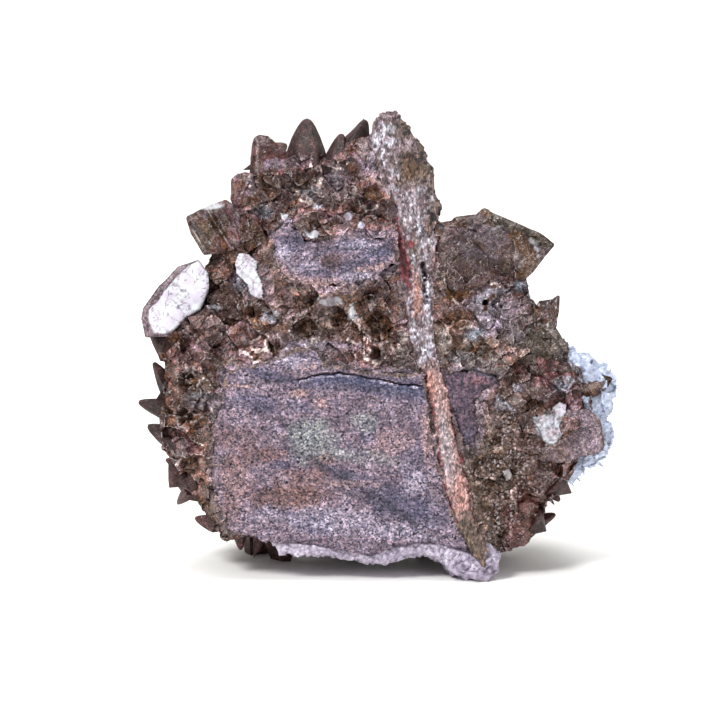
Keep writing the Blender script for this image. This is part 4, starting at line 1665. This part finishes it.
# %% [markdown]
# ## Gypsum
# Gypsum grew last, as a white sugary crust of small blades. The workshop solids give its lumps. They are
# divided and roughened here, and blades stand on them. One blade is a box, tapered and bevelled; the rest
# are copies that point away from the crust. Where a crust shows in front, a relief of lumps and grains
# lies over it.

# %% One blade
select_none()
bpy.ops.mesh.primitive_cube_add(size=1, location=(0, 0, 0.5))
blade = bpy.context.object
blade.name = "gypsum_blade"
blade.scale = (0.62, 0.22, 1)
bpy.ops.object.transform_apply(location=True, rotation=True, scale=True)
choose(blade, [v.co.z > 0.5 for v in blade.data.vertices])
bpy.ops.object.mode_set(mode="EDIT")
bpy.ops.transform.resize(value=(0.45, 0.55, 1), center_override=(0, 0, 1))
bpy.ops.mesh.select_all(action="SELECT")
bpy.ops.mesh.bevel(offset=0.05, segments=1, affect="EDGES")
bpy.ops.object.mode_set(mode="OBJECT")


# %% Blades on a crust
def crust(node_name, name, count, sizes, seed, spread, wanted=lambda x, y, z: True):
    """A roughened crust with blades on it, wherever they are wanted."""
    base = copy_of_node(node_name, name)
    divide_long_edges(base, (2.0, 1.0, 0.6))
    roughen(base, 0.8, 0.12, seed)
    roughen(base, 0.3, 0.05, seed + 3)
    places, normals = places_of(base), normals_of(base)
    pick = random.Random(seed)
    feet = [k for k in range(len(places)) if wanted(*places[k])]
    grown = [base]
    for _ in range(count):
        k = pick.choice(feet)
        foot = Vector(places[k]) - Vector(normals[k]) * 0.25
        way = Vector(normals[k]) + Vector([pick.gauss(0, spread) for _ in range(3)])
        size = pick.uniform(*sizes)
        tip = foot + way.normalized() * size
        grown.append(grown_copy(blade, "blade", foot, tip, size * 0.8, pick.uniform(0, 3.1)))
    made = join_all(grown, name)
    work_on(made)
    bpy.ops.object.mode_set(mode="EDIT")
    face_outwards()
    paint(made, "ridge", even(0.5))
    print(name, "has", len(made.data.polygons), "faces")
    return made


gypsum_white = mineral(
    "white_gypsum",
    [(0.30, shade("a1abc3")), (0.50, shade("bcc5dc")), (0.70, shade("d1daed"))],
    (), [(0.0, 0.80), (0.25, 1.0), (0.8, 1.1)], grain=0.35, ground_size=2.4, roughness=(0.25, 0.55),
    bump=0.05, bump_size=0.35, cloud=0.12, glow=0.25, ridge=(0.85, 1.12))
RIGHT_CRUST = [
    (22.4, 30.0), (23.1, 30.4), (24.0, 29.8), (24.2, 29.2), (25.0, 29.3), (25.5, 28.8), (25.9, 29.0),
    (26.9, 28.8), (27.4, 28.0), (28.1, 27.0), (28.7, 27.1), (29.3, 26.3), (29.9, 25.5), (30.1, 24.3),
    (29.8, 22.7), (30.1, 21.6), (29.1, 20.0), (29.6, 19.2), (29.8, 18.0), (29.5, 16.4), (28.4, 15.2),
    (27.4, 14.2), (26.0, 13.6), (25.0, 15.0), (26.0, 18.0), (25.6, 21.5), (24.4, 24.5), (23.2, 27.0),
]


def sugary(x, h, size, salt):
    """The lumps and small blades of a gypsum crust."""
    du, dv, _, high, tilt = cells(x, h, 0.5, salt, 0.4, 0.1)
    blades = 0.10 * (high - 0.5) + 0.2 * (du * np.cos(tilt * 6.3) + dv * np.sin(tilt * 6.3))
    return 0.7 * broken_faces(x, h, size, salt + 10)[0] + blades


right_front = relief(
    "gypsum_right_front", RIGHT_CRUST, 0.15, lambda x, h: 2.2 + sugary(x, h, 2.6, 320)
    + 0.9 * (1 - soft_step(distance_to(x, h, RIGHT_CRUST, closed=True), 0.0, 1.2)),
    [(3.2, 0.985), (4.4, 0.93), (6.0, 0.84)], ragged=0.35, rough=0.4)
wear(right_front, gypsum_white)
settle(right_front, "gypsum_crust_right", angle=25)
right_crust = crust(
    "gypsum_crust_right", "gypsum_right_bladed", 240, (0.6, 1.2), 300, spread=0.25)
wear(right_crust, gypsum_white)
settle(right_crust, "gypsum_crust_right", angle=30)
gypsum_lilac = mineral(
    "lilac_gypsum",
    [(0.30, shade("8c8298")), (0.50, shade("b2a8bb")), (0.70, shade("d6cfe0"))],
    (), [(0.0, 0.80), (0.25, 1.0), (0.8, 1.08)], grain=0.30, ground_size=1.8, roughness=(0.3, 0.6),
    bump=0.05, bump_size=0.35, cloud=0.16, glow=0.25, ridge=(0.6, 1.3))
LOW_CRUST = [
    (-14.0, 5.5), (-12.3, 5.4), (-10.6, 5.4), (-8.7, 5.2), (-6.8, 5.0), (-4.9, 4.5), (-2.9, 4.3), (-1.0, 3.8),
    (-0.3, 3.9), (0.9, 4.5), (2.8, 4.9), (4.5, 5.3), (6.2, 5.2), (7.5, 5.4), (8.7, 5.0), (10.0, 4.5),
    (11.5, 4.2), (12.2, 3.6), (13.2, 3.2), (14.5, 3.8), (15.4, 2.8), (15.3, 1.8), (14.4, 0.9), (13.4, 0.3),
    (12.3, 0.2), (11.5, 0.3), (10.6, 0.6), (9.6, 0.8), (8.7, 1.5), (8.1, 2.5), (7.2, 3.0), (5.8, 3.4),
    (3.9, 3.2), (2.4, 2.7), (1.2, 2.2), (0.1, 2.3), (-1.8, 2.5), (-3.3, 2.7), (-5.6, 3.3), (-8.1, 3.2),
    (-10.0, 3.0), (-11.5, 3.6), (-13.0, 4.4),
]


def low_crust_depth(x, h):
    rim = 0.5 * (1 - soft_step(distance_to(x, h, LOW_CRUST, closed=True), 0.0, 0.6))
    lobe = soft_step(x, 5.5, 8.0)
    du, dv, _, high, _ = cells(x, h, 0.62, 343, 1.0, 0.10)
    grains = 0.55 * np.hypot(du, dv) + 0.20 * (high - 0.5)
    du, dv, _, high, _ = cells(x, h, 1.05, 344, 1.0, 0.10)
    clusters = 0.75 * np.hypot(du, dv) + 0.30 * (high - 0.5)
    return 0.25 - 0.35 * lobe + rim * (1 + 0.8 * lobe) + grains + clusters * (0.3 + 0.7 * lobe)


low_front = relief(
    "gypsum_bottom_front", LOW_CRUST, 0.13, low_crust_depth, [(2.4, 0.99), (4.2, 0.96)], ragged=0.3)
wear(low_front, gypsum_lilac)
settle(low_front, "gypsum_crust_bottom", angle=30)
low_crust = crust(
    "gypsum_crust_bottom", "gypsum_bottom_bladed", 320, (0.35, 0.6), 310, spread=0.2,
    wanted=lambda x, y, z: z > 1.0 and x > 6.5)
wear(low_crust, gypsum_lilac)
settle(low_crust, "gypsum_crust_bottom", angle=30)

# %% Put the models away
for model in [blade] + list(tooth_models.values()):
    bpy.data.objects.remove(model)

visual_box = [list(corner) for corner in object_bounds()]
print("visual box, mm:", [[round(value / MM, 2) for value in corner] for corner in visual_box])
